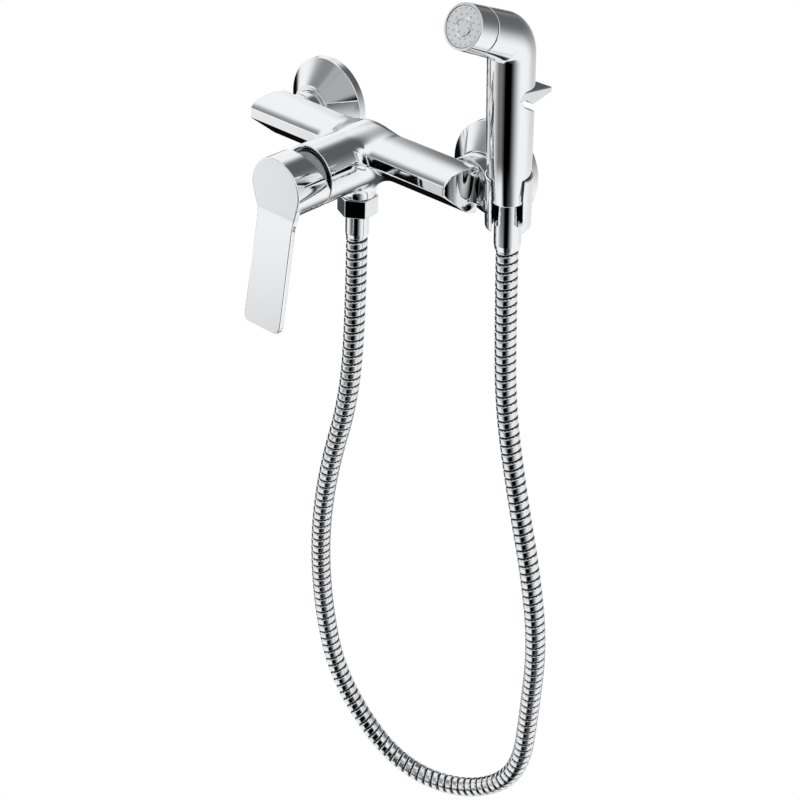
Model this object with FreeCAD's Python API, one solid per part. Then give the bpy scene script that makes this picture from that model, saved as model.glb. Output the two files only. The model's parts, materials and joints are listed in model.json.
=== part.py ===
import FreeCAD, Part
import math
import os

# A wall-mounted bidet shower mixer, in millimetres: two wall unions under conical covers, a bar with the lever
# cylinder through its middle, a ribbed metal hose, and a trigger spray handset in a slotted cup.
# The origin is midway between the two wall unions, in the plane of the wall. X runs along the bar to the right,
# Z is up, and the wall is the plane Y = 0. "Out" is a distance from the wall towards the user, so out = -Y.
# "Rise" is a height along the handset's leaning axis, from where that axis crosses Z = 0.

Vector = FreeCAD.Vector

# Fits between pieces
joint_gap = 0.3
slip_gap = 0.1
pin_gap = 0.05

# Wall unions and their covers
inlet_spacing = 150.0
wall_thread_r = 10.48
wall_thread_length = 14.0
waterway_r = 6.0
union_hex_flats = 24.0
union_hex_start = 1.0
union_hex_length = 7.0
union_front = 24.0
cover_r = 32.6
cover_rim = 5.4
cover_wall = 1.5
cover_back_width = 2.6
cover_mouth_r = 16.8
cover_depth = 20.0
cover_mouth_length = 2.0
cover_bead_r = 15.2
cover_bead_height = 0.8

# Union nuts, the washers inside them, and the bar's inlet stubs
nut_r = 13.4
nut_back = 18.5
nut_lip = 3.4
washer_thickness = 2.1
stub_flange_r = 10.2
stub_flange_thickness = 2.5
stub_r = 7.9

# Bar: its section is given as out and Z
bar_overhang = 10.9
bar_half_length = inlet_spacing / 2 + bar_overhang
bar_end_crown = 0.3
bar_back = 33.0
bar_front = 66.7
bar_lip_top = 11.3
bar_lip_bottom = 4.5
bar_crown = 16.5
bar_shoulder_out = 59.8
bar_shoulder_z = 15.4
bar_heel_out = 38.0
bar_heel_z = 15.7
bar_back_top = 13.0
bar_belly_out = 46.8
bar_belly_z = 11.3
bar_bottom = 16.5
bar_waterway_r = 7.0
bar_waterway_out = 46.0
bar_waterway_z = 1.5
flare_reach = 32.0
flare_start = 8.0
flare_growth = 0.22
flare_power = 2.4
flare_sections = 5

# Cylinder that holds the cartridge
body_r = 20.4
body_back = 34.5
body_back_round = 5.0
body_front = 97.2
chamber_r = 17.7
chamber_floor = 62.0
ring_thread_r = 18.6
ring_seat = 88.2

# Outlet under the cylinder
outlet_out = 51.5
outlet_boss_r = 12.0
outlet_boss_bottom = 27.1
outlet_round = 4.0
outlet_thread_r = 10.48
outlet_thread_length = 7.9
outlet_bore_r = 6.5
outlet_bore_top = 4.0

# Ports between the waterways and the cartridge
inlet_port_x = 10.0
inlet_port_r = 2.8
outlet_port_z = 8.0
outlet_port_r = 3.0

# Cartridge
cartridge_r = 17.4
base_thickness = 4.7
seal_r = 4.6
seal_depth = 2.0
fixed_disc_r = 14.5
fixed_disc_thickness = 3.5
moving_disc_r = 11.0
moving_disc_thickness = 4.0
mixing_pocket_r = 8.0
mixing_pocket_depth = 2.0
carrier_thickness = 6.0
carrier_pocket_r = 3.2
carrier_floor = 1.0
housing_wall = 1.2
housing_shoulder = 82.0
housing_step = 88.0
neck_r = 14.2
neck_wall = 1.0
neck_front = 96.5
neck_lip = 1.7
neck_mouth_r = 9.5
guide_back = 83.0
guide_window_x = 8.4
guide_window_z = 19.0
ring_inner_gap = 0.2
ring_front = 96.0

# Stem, which lifts on a pin through the cartridge axis
pivot_out = 92.0
lift_angle = 22.0
stem_side = 8.0
stem_back = 86.0
stem_front = 122.0
stem_pin_r = 1.5
stem_pin_length = 23.0
finger_arm = 13.0
finger_ball_r = 2.6
finger_root_r = 3.0
finger_neck_r = 1.8

# Domed cover between the lever and the cylinder
dome_r = 17.4
dome_wall = 1.5
dome_mouth_r = 11.0

# Lever: a cap round the cylinder's axis and a blade that hangs from its front
cap_r = 20.5
cap_back = 98.2
cap_front = 126.6
cap_wall = 2.2
cap_front_wall = 3.1
cap_boss_r = 9.0
cap_boss_back = 110.5
cap_relief_out = 99.6
cap_relief_angle = 25.0
cap_edge_round = 0.5
socket_gap = 0.05
blade_thickness = 4.0
blade_lean = 10.4
blade_bend_z = 16.0
blade_shoulder_x = 19.4
blade_bend_half = 16.6
blade_waist_half = 15.5
blade_waist_drop = 9.0
blade_end_half = 16.2
blade_length = 78.3
blade_corner_r = 5.0
blade_edge_round = 0.8
root_half = 13.0
root_start_out = 117.5
root_drop = 12.0
lever_screw_out = 114.0
lever_screw_r = 2.4
lever_screw_length = 5.4
lever_plug_r = 2.9
lever_plug_length = 2.1

# Outlet fittings and hose
check_valve_length = 11.0
check_valve_wall = 1.6
seat_washer_thickness = 2.0
seat_washer_bore_r = 4.6
hose_nut_flats = 23.75
hose_nut_top = 27.4
hose_nut_length = 12.6
hose_nut_lip = 1.2
hose_nut_turn = 5.5
hose_nut_chamfer = 1.2
ferrule_flange_r = 9.7
ferrule_flange_thickness = 1.6
ferrule_r = 7.9
ferrule_end = 57.6
ferrule_taper = 0.4
ferrule_taper_length = 3.0
hose_bore_r = 4.2
hose_crest_r = 7.3
hose_groove_r = 6.5
hose_rib_count = 165
hose_rib_profile = (0.0, 0.14, 0.72, 0.86)

# Handset axis: it crosses Z = 0 at this X and out, and its top leans towards the user
handset_beyond_bar = 21.6
handset_x = bar_half_length + handset_beyond_bar
handset_out = 29.7
handset_lean = 4.44

# Handset, in its own frame: rise along the axis, back towards the wall
grip_r = 14.5
grip_end_r = 12.43
grip_bottom = -1.0
taper_top = 26.0
elbow_rise = 104.9
elbow_bend_r = 16.0
elbow_turn = 64.1
head_end_r = 13.4
head_length = 49.0
seam_from_elbow = 33.0
seam_gap = 0.9
seam_depth = 0.6
spigot_r = 8.2
spigot_length = 12.0
inlet_channel_r = 3.2
valve_back = 3.0
chamber_valve_r = 6.5
chamber_valve_bottom = 18.0
chamber_valve_top = 54.0
cross_channel_rise = 50.0
cross_channel_r = 2.6
riser_forward = 9.6
riser_r = 2.4
head_bore_r = 9.5

# Spray collar and face
collar_thread_r = 11.0
collar_thread_length = 8.0
collar_wall = 1.6
face_thickness = 2.5
face_recess = 0.4
face_rings = (6, 12, 18)
face_ring_pitch = 3.4
face_ring_first = 3.6
nozzle_r = 0.55
face_seal_r = 0.9

# Sleeve at the hose's handset end
connector_r = 8.75
connector_end = -36.0
connector_taper = 0.6
connector_taper_length = 4.0
connector_seal_thickness = 1.8

# Trigger and valve
notch_front = -6.1
notch_front_floor = 67.4
notch_floor_fall = 0.58
notch_top = 76.0
notch_round = 3.2
post_half = 4.4
post_back = -0.8
trigger_pivot_rise = 70.0
trigger_pivot_back = -3.2
trigger_pin_r = 1.3
trigger_half = 7.0
trigger_ear_r = 2.6
trigger_web_back = 0.6
trigger_brow_back = 8.2
trigger_brow_rise = 69.8
trigger_heel_back = 13.9
trigger_heel_rise = 59.8
trigger_tip_back = 31.5
trigger_tip_rise = 63.4
trigger_tip_thickness = 3.3
trigger_cam_rise = 64.8
trigger_cam_spare = 1.4
trigger_edge_round = 0.6
plunger_rod_r = 2.0
poppet_r = 5.4
poppet_bottom = 32.0
poppet_thickness = 3.0
valve_seat_bottom = 38.0
valve_seat_thickness = 6.0
valve_seat_bore_r = 3.3
valve_seal_thickness = 2.9
spring_r = 4.1
spring_wire = 0.8

# Holder: a ring on the right union nut, a neck, and the slotted cup
holder_ring_r = 16.0
holder_ring_back = 21.0
holder_ring_front = 30.5
neck_half_height = 9.4
neck_drop = 3.0
neck_root_length = 9.0
neck_beyond_bar = 12.6
neck_back_out = 19.0
neck_front_out = 35.0
cup_r = 15.15
cup_bottom_r = 14.5
cup_bottom = -19.7
cup_top = 16.5
cup_bottom_round = 1.2
cup_shelf = -15.0
cup_shelf_r = 9.3
slot_azimuth = 35.5
slot_half = 9.6
slot_mouth_half = 10.2
slot_flare_rise = 5.0
holder_screw_r = 2.0

# Hose route, chosen by hand, as X, out and Z. It starts under the outlet ferrule, and two more points on the
# handset's axis end it.
hose_points = [
    (0.0, 51.5, -57.6), (0.0, 51.5, -124.0), (-4.0, 52.4, -190.0), (-20.0, 56.1, -256.0),
    (-27.0, 57.8, -322.0), (-23.5, 56.7, -388.7), (-10.0, 54.1, -451.9), (25.7, 44.9, -506.2),
    (61.1, 38.0, -524.6), (98.8, 28.2, -523.4), (131.4, 20.0, -503.5), (150.8, 16.2, -469.8),
    (151.8, 14.0, -413.0), (153.0, 14.6, -348.3), (142.0, 15.6, -288.0), (126.0, 17.2, -229.0),
    (110.5, 19.0, -160.0),
]
hose_last_run = 58.3


def point(x, out, z):
    """A point of the row frame from its distance out of the wall."""
    return Vector(x, -out, z)


def barrel(radius, start, end, x=0.0, z=0.0):
    """A cylinder that runs straight out from the wall, from one distance to another."""
    return Part.makeCylinder(radius, end - start, point(x, start, z), Vector(0, -1, 0))


def upright(radius, bottom, top, x=0.0, out=0.0):
    """A cylinder along Z."""
    return Part.makeCylinder(radius, top - bottom, point(x, out, bottom), Vector(0, 0, 1))


def lathe_out(profile, x=0.0, z=0.0):
    """Turns (radius, out) points about an axis that runs straight out from the wall."""
    corners = [point(x + radius, out, z) for radius, out in profile]
    face = Part.Face(Part.makePolygon(corners + corners[:1]))
    return face.revolve(point(x, 0, z), Vector(0, 1, 0), 360)


def lathe_up(profile, x=0.0, y=0.0):
    """Turns (radius, height) points about an axis along Z."""
    corners = [Vector(x + radius, y, height) for radius, height in profile]
    face = Part.Face(Part.makePolygon(corners + corners[:1]))
    return face.revolve(Vector(x, y, 0), Vector(0, 0, 1), 360)


def hexagon(flats, start, end, x=0.0, z=0.0):
    """A hexagonal bar that runs straight out from the wall, with a flat on top."""
    corner_r = flats / 2 / math.cos(math.radians(30))
    angles = [math.radians(60 * i) for i in range(7)]
    corners = [point(x + corner_r * math.cos(a), start, z + corner_r * math.sin(a)) for a in angles]
    return Part.Face(Part.makePolygon(corners)).extrude(point(0, end - start, 0))


def edges_within(shape, low, high):
    """The edges whose boxes lie between two corners, given as X, Y and Z."""
    found = []
    for edge in shape.Edges:
        box = edge.BoundBox
        lows = (box.XMin, box.YMin, box.ZMin)
        highs = (box.XMax, box.YMax, box.ZMax)
        inside_low = all(a > b - 0.01 for a, b in zip(lows, low))
        inside_high = all(a < b + 0.01 for a, b in zip(highs, high))
        if inside_low and inside_high:
            found.append(edge)
    return found


def save(name, shape):
    """Writes one node and prints its solids and volume."""
    solids = shape.Solids
    kept = solids[0] if len(solids) == 1 else Part.makeCompound(solids)
    kept.exportStep("parts/%s.step" % name)
    print("%-20s solids %d  volume %.1f" % (name, len(solids), kept.Volume))


# Wall unions, covers and union nuts

def wall_union(x):
    thread = barrel(wall_thread_r, -wall_thread_length, union_hex_start, x)
    grip = hexagon(union_hex_flats, union_hex_start, union_hex_start + union_hex_length, x)
    tube = barrel(wall_thread_r, union_hex_start + union_hex_length, union_front, x)
    bore = barrel(waterway_r, -wall_thread_length, union_front, x)
    return thread.fuse([grip, tube]).removeSplitter().cut(bore)


def escutcheon(x):
    mouth_back = cover_depth - cover_mouth_length
    inner_mouth = nut_r + joint_gap
    profile = [
        (cover_r, 0), (cover_r, cover_rim), (cover_mouth_r, cover_depth - cover_bead_height),
        (cover_bead_r, cover_depth - cover_bead_height), (cover_bead_r, cover_depth),
        (inner_mouth, cover_depth), (inner_mouth, mouth_back),
        (cover_mouth_r - cover_wall, mouth_back - cover_wall),
        (cover_r - cover_wall, cover_rim - cover_wall / 2), (cover_r - cover_wall, cover_wall),
        (cover_r - cover_back_width, 0),
    ]
    return lathe_out(profile, x)


def union_nut(x):
    front = bar_back - joint_gap
    outside = barrel(nut_r, nut_back, front, x)
    thread = barrel(wall_thread_r + slip_gap, nut_back, front - nut_lip, x)
    throat = barrel(stub_r + slip_gap, nut_back, front, x)
    return outside.cut(thread).cut(throat)


def inlet_washer(x):
    ring = barrel(stub_flange_r, union_front, union_front + washer_thickness, x)
    return ring.cut(barrel(waterway_r, union_front, union_front + washer_thickness, x))


# Mixer body

def bar_section(x, scale):
    """The bar's section at one X, swollen about the middle of the bar by a scale."""
    middle_out = (bar_back + bar_front) / 2

    def at(out, z):
        spread = 1 + (scale - 1) * 0.35
        return point(x, middle_out + (out - middle_out) * spread, z * scale)

    def bend(start, middle, end):
        return Part.Arc(at(*start), at(*middle), at(*end)).toShape()

    back_bottom = (bar_back, -bar_bottom)
    back_top = (bar_back, bar_back_top)
    heel = (bar_heel_out, bar_heel_z)
    shoulder = (bar_shoulder_out, bar_shoulder_z)
    lip_top = (bar_front, bar_lip_top)
    lip_bottom = (bar_front, bar_lip_bottom)
    belly = (bar_belly_out, -bar_belly_z)
    heel_middle = ((bar_back + bar_heel_out) / 2 - 0.6, (bar_back_top + bar_heel_z) / 2 + 0.45)
    crown = ((bar_heel_out + bar_shoulder_out) / 2, bar_crown)
    brow = ((bar_shoulder_out + bar_front) / 2 + 0.65, (bar_shoulder_z + bar_lip_top) / 2 + 0.45)
    keel = ((bar_belly_out + bar_back) / 2 + 0.5, -(bar_belly_z + bar_bottom) / 2 - 1.2)
    return Part.Wire([
        Part.makeLine(at(*back_bottom), at(*back_top)),
        bend(back_top, heel_middle, heel),
        bend(heel, crown, shoulder),
        bend(shoulder, brow, lip_top),
        Part.makeLine(at(*lip_top), at(*lip_bottom)),
        Part.makeLine(at(*lip_bottom), at(*belly)),
        bend(belly, keel, back_bottom),
    ])


def bar():
    """The bar, cut to ends that are slightly crowned in plan."""
    length = 2 * bar_half_length
    prism = Part.Face(bar_section(-bar_half_length, 1.0)).extrude(Vector(length, 0, 0))
    middle_out = (bar_back + bar_front) / 2
    reach = bar_half_length - bar_end_crown
    margin = 2.0
    height = 3 * bar_bottom
    corners = [
        point(-reach, bar_back - margin, -height / 2), point(reach, bar_back - margin, -height / 2),
        point(reach, bar_front + margin, -height / 2), point(-reach, bar_front + margin, -height / 2),
    ]
    tips = [point(side * bar_half_length, middle_out, -height / 2) for side in (1, -1)]
    outline = Part.Wire([
        Part.makeLine(corners[0], corners[1]),
        Part.Arc(corners[1], tips[0], corners[2]).toShape(),
        Part.makeLine(corners[2], corners[3]),
        Part.Arc(corners[3], tips[1], corners[0]).toShape(),
    ])
    return prism.common(Part.Face(outline).extrude(Vector(0, 0, height)))


def arm_flare(side):
    """The swelling where one arm of the bar runs into the cylinder."""
    sections = []
    for i in range(flare_sections):
        part_way = i / (flare_sections - 1)
        scale = 1 + flare_growth * (1 - part_way) ** flare_power
        sections.append(bar_section(side * (flare_start + (flare_reach - flare_start) * part_way), scale))
    return Part.makeLoft(sections, True, False)


def body_cylinder():
    cylinder = barrel(body_r, body_back, body_front)
    back = edges_within(cylinder, (-body_r, -body_back, -body_r), (body_r, -body_back, body_r))
    return cylinder.makeFillet(body_back_round, back)


def outlet_boss():
    """The flared boss and the thread that the hose nut screws on."""
    flare = lathe_up([
        (0, -outlet_boss_bottom), (outlet_boss_r, -outlet_boss_bottom),
        (outlet_boss_r, -body_r - outlet_round), (outlet_boss_r + outlet_round, -body_r + 2), (0, -body_r + 2),
    ], 0, -outlet_out)
    core = upright(outlet_boss_r, -outlet_boss_bottom, 0, 0, outlet_out)
    thread = upright(outlet_thread_r, -outlet_boss_bottom - outlet_thread_length, 0, 0, outlet_out)
    return core.fuse([flare, thread])


def inlet_stub(x):
    flange_back = union_front + washer_thickness
    flange = barrel(stub_flange_r, flange_back, flange_back + stub_flange_thickness, x)
    return flange.fuse(barrel(stub_r, flange_back, bar_back + 2, x))


def waterways():
    """Everything that is bored out of the body."""
    bores = []
    for side in (-1, 1):
        x = side * inlet_spacing / 2
        end_x = side * (inlet_port_x - 1.0)
        bores.append(barrel(waterway_r, union_front, bar_waterway_out, x))
        start = point(end_x, bar_waterway_out, bar_waterway_z)
        bores.append(Part.makeCylinder(bar_waterway_r, abs(x - end_x), start, Vector(side, 0, 0)))
        bores.append(barrel(inlet_port_r, bar_waterway_out, chamber_floor, side * inlet_port_x, bar_waterway_z))
    outlet_bottom = -outlet_boss_bottom - outlet_thread_length
    bores.append(upright(outlet_bore_r, outlet_bottom, -outlet_bore_top, 0, outlet_out))
    bores.append(barrel(outlet_port_r, outlet_out, chamber_floor, 0, -outlet_port_z))
    bores.append(barrel(chamber_r, chamber_floor, body_front))
    bores.append(barrel(ring_thread_r, ring_seat, body_front))
    return bores


def mixer_body():
    pieces = [arm_flare(1), arm_flare(-1), body_cylinder(), outlet_boss()]
    pieces += [inlet_stub(side * inlet_spacing / 2) for side in (-1, 1)]
    solid = bar().fuse(pieces).removeSplitter()
    return solid.cut(waterways())


# Cartridge

base_back = chamber_floor + joint_gap
base_front = base_back + base_thickness
fixed_disc_front = base_front + fixed_disc_thickness
moving_disc_front = fixed_disc_front + moving_disc_thickness
disc_slide = finger_arm * math.radians(lift_angle)
ports = [
    (-inlet_port_x, bar_waterway_z, inlet_port_r),
    (inlet_port_x, bar_waterway_z, inlet_port_r),
    (0.0, -outlet_port_z, outlet_port_r),
]


def cartridge_base():
    solid = barrel(cartridge_r, base_back, base_front)
    for x, z, radius in ports:
        solid = solid.cut(barrel(radius, base_back, base_front, x, z))
        solid = solid.cut(barrel(seal_r + slip_gap, base_back, base_back + seal_depth, x, z))
    return solid


def cartridge_seals():
    rings = []
    for x, z, radius in ports:
        ring = barrel(seal_r, chamber_floor, base_back + seal_depth, x, z)
        rings.append(ring.cut(barrel(radius, chamber_floor, base_back + seal_depth, x, z)))
    return Part.makeCompound(rings)


def fixed_disc():
    solid = barrel(fixed_disc_r, base_front, fixed_disc_front)
    return solid.cut([barrel(radius, base_front, fixed_disc_front, x, z) for x, z, radius in ports])


def moving_disc():
    z = disc_slide / 2
    solid = barrel(moving_disc_r, fixed_disc_front, moving_disc_front, 0, z)
    return solid.cut(barrel(mixing_pocket_r, fixed_disc_front, fixed_disc_front + mixing_pocket_depth, 0, z))


def disc_carrier():
    front = moving_disc_front + carrier_thickness
    solid = barrel(moving_disc_r, moving_disc_front, front, 0, disc_slide / 2)
    return solid.cut(barrel(carrier_pocket_r, moving_disc_front + carrier_floor, front))


def cartridge_housing():
    inner_r = cartridge_r - housing_wall
    neck_inner_r = neck_r - neck_wall
    profile = [
        (cartridge_r, base_front), (cartridge_r, housing_step), (neck_r, housing_step),
        (neck_r, neck_front), (neck_mouth_r, neck_front), (neck_mouth_r, neck_front - neck_lip),
        (neck_inner_r, neck_front - neck_lip),
        (neck_inner_r, housing_shoulder), (inner_r, housing_shoulder), (inner_r, base_front),
    ]
    return lathe_out(profile)


def stem_guide():
    outer_r = neck_r - neck_wall - joint_gap
    front = neck_front - neck_lip - joint_gap
    solid = barrel(outer_r, guide_back, front)
    corner = point(-guide_window_x / 2, front, -guide_window_z / 2)
    window = Part.makeBox(guide_window_x, front - guide_back, guide_window_z, corner)
    length = stem_pin_length
    start = point(-length / 2, pivot_out, 0)
    return solid.cut(window).cut(Part.makeCylinder(stem_pin_r, length, start, Vector(1, 0, 0)))


def stem_pin():
    length = stem_pin_length
    return Part.makeCylinder(stem_pin_r, length, point(-length / 2, pivot_out, 0), Vector(1, 0, 0))


def cartridge_stem():
    corner = point(-stem_side / 2, stem_front, -stem_side / 2)
    block = Part.makeBox(stem_side, stem_front - stem_back, stem_side, corner)
    ball_out = pivot_out - finger_arm
    root = point(0, stem_back, 0)
    neck = Part.makeCone(finger_root_r, finger_neck_r, stem_back - ball_out, root, Vector(0, 1, 0))
    ball = Part.makeSphere(finger_ball_r, point(0, ball_out, 0))
    hole_start = point(-stem_side / 2, pivot_out, 0)
    pin_hole = Part.makeCylinder(stem_pin_r + pin_gap, stem_side, hole_start, Vector(1, 0, 0))
    return block.fuse([neck, ball]).cut(pin_hole)


def retaining_nut():
    outside = barrel(ring_thread_r - slip_gap, ring_seat, ring_front)
    return outside.cut(barrel(neck_r + ring_inner_gap, ring_seat, ring_front))


def cover_dome():
    """A shell of a sphere about the lift pivot, so that the cap swings over it at a steady gap."""
    centre = point(0, pivot_out, 0)
    shell = Part.makeSphere(dome_r, centre).cut(Part.makeSphere(dome_r - dome_wall, centre))
    behind = barrel(2 * dome_r, pivot_out - 2 * dome_r, ring_front)
    return shell.cut(behind).cut(barrel(dome_mouth_r, ring_front, pivot_out + 2 * dome_r))


# Lever

def cap_relief():
    """The half space that the cap's slanted back edge leaves free, so that the lever can lift."""
    size = 3 * cap_r
    block = Part.makeBox(2 * size, size, 2 * size, point(-size, 0, -size))
    block.rotate(Vector(0, 0, 0), Vector(1, 0, 0), cap_relief_angle)
    block.translate(point(0, cap_relief_out, 0))
    return block


def blade_outline():
    """The blade in its own plane: half widths, and distances down from the bend."""
    end = blade_length
    corner = blade_corner_r
    side = blade_end_half - corner * (1 - math.cos(math.radians(45)))
    lift = end - corner * (1 - math.sin(math.radians(45)))

    def at(x, drop):
        return Vector(x, 0, -drop)

    def bend(start, middle, finish):
        return Part.Arc(at(*start), at(*middle), at(*finish)).toShape()

    neck_x = blade_waist_half + 0.25 * (blade_bend_half - blade_waist_half)
    neck_drop = blade_waist_drop / 2
    foot_x = blade_end_half - corner
    return Part.Wire([
        Part.makeLine(at(-blade_bend_half, 0), at(blade_bend_half, 0)),
        bend((blade_bend_half, 0), (neck_x, neck_drop), (blade_waist_half, blade_waist_drop)),
        Part.makeLine(at(blade_waist_half, blade_waist_drop), at(blade_end_half, end - corner)),
        bend((blade_end_half, end - corner), (side, lift), (foot_x, end)),
        Part.makeLine(at(foot_x, end), at(-foot_x, end)),
        bend((-foot_x, end), (-side, lift), (-blade_end_half, end - corner)),
        Part.makeLine(at(-blade_end_half, end - corner), at(-blade_waist_half, blade_waist_drop)),
        bend((-blade_waist_half, blade_waist_drop), (-neck_x, neck_drop), (-blade_bend_half, 0)),
    ])


def blade():
    solid = Part.Face(blade_outline()).extrude(Vector(0, blade_thickness, 0))
    solid.rotate(Vector(0, 0, 0), Vector(1, 0, 0), -blade_lean)
    solid.translate(point(0, cap_front, -blade_bend_z))
    return solid


def blade_shoulders():
    """The flat web that carries the cap's front face down to the bend."""
    shoulder_z = -math.sqrt(cap_r ** 2 - blade_shoulder_x ** 2)
    middle_z = (shoulder_z - blade_bend_z) / 2
    hem_z = -blade_bend_z - blade_thickness * math.sin(math.radians(blade_lean))

    middle_x = (blade_shoulder_x + blade_bend_half) / 2 - 0.35
    left = {}
    right = {}
    for side, corners in ((-1, left), (1, right)):
        corners["shoulder"] = point(side * blade_shoulder_x, cap_front, shoulder_z)
        corners["middle"] = point(side * middle_x, cap_front, middle_z)
        corners["bend"] = point(side * blade_bend_half, cap_front, -blade_bend_z)
        corners["hem"] = point(side * blade_waist_half, cap_front, hem_z)
    outline = Part.Wire([
        Part.makeLine(left["shoulder"], right["shoulder"]),
        Part.Arc(right["shoulder"], right["middle"], right["bend"]).toShape(),
        Part.makeLine(right["bend"], right["hem"]),
        Part.makeLine(right["hem"], left["hem"]),
        Part.makeLine(left["hem"], left["bend"]),
        Part.Arc(left["bend"], left["middle"], left["shoulder"]).toShape(),
    ])
    return Part.Face(outline).extrude(Vector(0, blade_thickness, 0))


def blade_root():
    """The hollow curve that runs the cap's underside into the back of the blade."""
    lean = math.radians(blade_lean)
    back_out = cap_front - blade_thickness * math.cos(lean)
    back_z = -blade_bend_z - blade_thickness * math.sin(lean)
    end_z = back_z - root_drop
    end_out = back_out + root_drop * math.tan(lean)
    start_z = -cap_r + 0.2
    middle_out = root_start_out + 0.72 * (end_out - root_start_out)
    middle_z = start_z + 0.25 * (end_z - start_z)
    inside = cap_front - blade_thickness / 2
    top_z = -cap_boss_r
    edges = [
        Part.makeLine(point(-root_half, root_start_out, top_z), point(-root_half, inside, top_z)),
        Part.makeLine(point(-root_half, inside, top_z), point(-root_half, end_out + 1.0, end_z)),
        Part.makeLine(point(-root_half, end_out + 1.0, end_z), point(-root_half, end_out, end_z)),
        Part.Arc(
            point(-root_half, end_out, end_z), point(-root_half, middle_out, middle_z),
            point(-root_half, root_start_out, start_z),
        ).toShape(),
        Part.makeLine(point(-root_half, root_start_out, start_z), point(-root_half, root_start_out, top_z)),
    ]
    solid = Part.Face(Part.Wire(edges)).extrude(Vector(2 * root_half, 0, 0))
    hollow = barrel(cap_r - cap_wall, cap_back, cap_front - cap_front_wall)
    return solid.cut(hollow)


def lever_handle():
    cap = barrel(cap_r, cap_back, cap_front)
    rim = edges_within(cap, (-cap_r, -cap_front, -cap_r), (cap_r, -cap_front, cap_r))
    cap = cap.makeFillet(cap_edge_round, rim)
    hollow_r = cap_r - cap_wall
    cap = cap.cut(barrel(hollow_r, cap_back, cap_front - cap_front_wall))
    cap = cap.fuse(barrel(cap_boss_r, cap_boss_back, cap_front - cap_front_wall))
    cap = cap.cut(cap_relief())
    solid = cap.fuse([blade_shoulders(), blade(), blade_root()]).removeSplitter()
    side = stem_side + 2 * socket_gap
    socket_front = stem_front + joint_gap
    corner = point(-side / 2, socket_front, -side / 2)
    socket = Part.makeBox(side, socket_front - cap_boss_back, side, corner)
    screw_hole = upright(lever_screw_r, -cap_boss_r - 1, 0, 0, lever_screw_out)
    plug_hole = upright(lever_plug_r, -cap_r - 1, -cap_boss_r - 1, 0, lever_screw_out)
    return solid.cut([socket, screw_hole, plug_hole])


def lever_screw():
    top = -stem_side / 2
    screw = upright(lever_screw_r, top - lever_screw_length, top, 0, lever_screw_out)
    key_r = lever_screw_r / 2
    return screw.cut(upright(key_r, top - lever_screw_length, top - lever_screw_length / 2, 0, lever_screw_out))


def lever_plug():
    return upright(lever_plug_r, -cap_r + 0.1, -cap_r + 0.1 + lever_plug_length, 0, lever_screw_out)


# Outlet fittings

outlet_face = -outlet_boss_bottom - outlet_thread_length
seat_face = outlet_face - seat_washer_thickness


def check_valve():
    """A sleeve with a poppet disc carried on a cross bar."""
    radius = outlet_bore_r - slip_gap
    bottom = outlet_face + 0.2
    top = bottom + check_valve_length
    sleeve = upright(radius, bottom, top, 0, outlet_out)
    sleeve = sleeve.cut(upright(radius - check_valve_wall, bottom, top, 0, outlet_out))
    bar_height = 1.5
    cross = Part.makeBox(2 * radius - 1, 1.6, bar_height, point(-radius + 0.5, outlet_out + 0.8, bottom + 1))
    poppet = upright(radius - 2 * check_valve_wall, bottom + 1, bottom + 1 + 2 * bar_height, 0, outlet_out)
    return sleeve.fuse([cross, poppet])


def outlet_washer():
    ring = upright(outlet_thread_r - slip_gap, seat_face, outlet_face, 0, outlet_out)
    return ring.cut(upright(seat_washer_bore_r, seat_face, outlet_face, 0, outlet_out))


def hose_nut():
    corner_r = hose_nut_flats / 2 / math.cos(math.radians(30))
    bottom = -hose_nut_top - hose_nut_length
    angles = [math.radians(hose_nut_turn + 60 * i) for i in range(7)]
    corners = [point(corner_r * math.sin(a), outlet_out + corner_r * math.cos(a), bottom) for a in angles]
    prism = Part.Face(Part.makePolygon(corners)).extrude(Vector(0, 0, hose_nut_length))
    trim = lathe_up([
        (0, bottom), (corner_r - hose_nut_chamfer, bottom),
        (corner_r, bottom + hose_nut_chamfer * 0.6), (corner_r, -hose_nut_top - hose_nut_chamfer * 0.6),
        (corner_r - hose_nut_chamfer, -hose_nut_top), (0, -hose_nut_top),
    ], 0, -outlet_out)
    thread = upright(outlet_thread_r + slip_gap, bottom + hose_nut_lip, -hose_nut_top, 0, outlet_out)
    throat = upright(ferrule_r + slip_gap, bottom, -hose_nut_top, 0, outlet_out)
    return prism.common(trim).cut([thread, throat])


def hose_ferrule():
    flange_bottom = seat_face - ferrule_flange_thickness
    profile = [
        (hose_bore_r, seat_face), (ferrule_flange_r, seat_face), (ferrule_flange_r, flange_bottom),
        (ferrule_r, flange_bottom), (ferrule_r, -ferrule_end + ferrule_taper_length),
        (ferrule_r - ferrule_taper, -ferrule_end), (hose_bore_r, -ferrule_end),
    ]
    return lathe_up(profile, 0, -outlet_out)


# Handset: built upright about the origin, then leaned and moved onto its axis

def seat_handset(shape):
    """Leans a shape built about the origin, and moves it onto the handset's axis."""
    shape.rotate(Vector(0, 0, 0), Vector(1, 0, 0), handset_lean)
    shape.translate(point(handset_x, handset_out, 0))
    return shape


def grip_radius(rise):
    """The grip's radius: a cone below the taper's top, and a cylinder above it."""
    slope = (grip_r - grip_end_r) / (taper_top - grip_bottom)
    return grip_r - slope * max(0.0, taper_top - rise)


def column(radius, bottom, top, x=0.0, back=0.0):
    """A cylinder along the handset's axis, before it is leaned."""
    return Part.makeCylinder(radius, top - bottom, Vector(x, back, bottom), Vector(0, 0, 1))


head_angle = math.radians(90 - elbow_turn)
head_direction = Vector(0, -math.cos(head_angle), math.sin(head_angle))
elbow_tangent = elbow_bend_r * math.tan(math.radians(elbow_turn / 2))


def along_head(distance):
    """A point on the head's axis, at a distance from where it meets the grip's axis."""
    return Vector(0, 0, elbow_rise) + head_direction * distance


def head_radius(distance):
    part_way = (distance - elbow_tangent) / (head_length - elbow_tangent)
    return grip_r + (head_end_r - grip_r) * part_way


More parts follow.
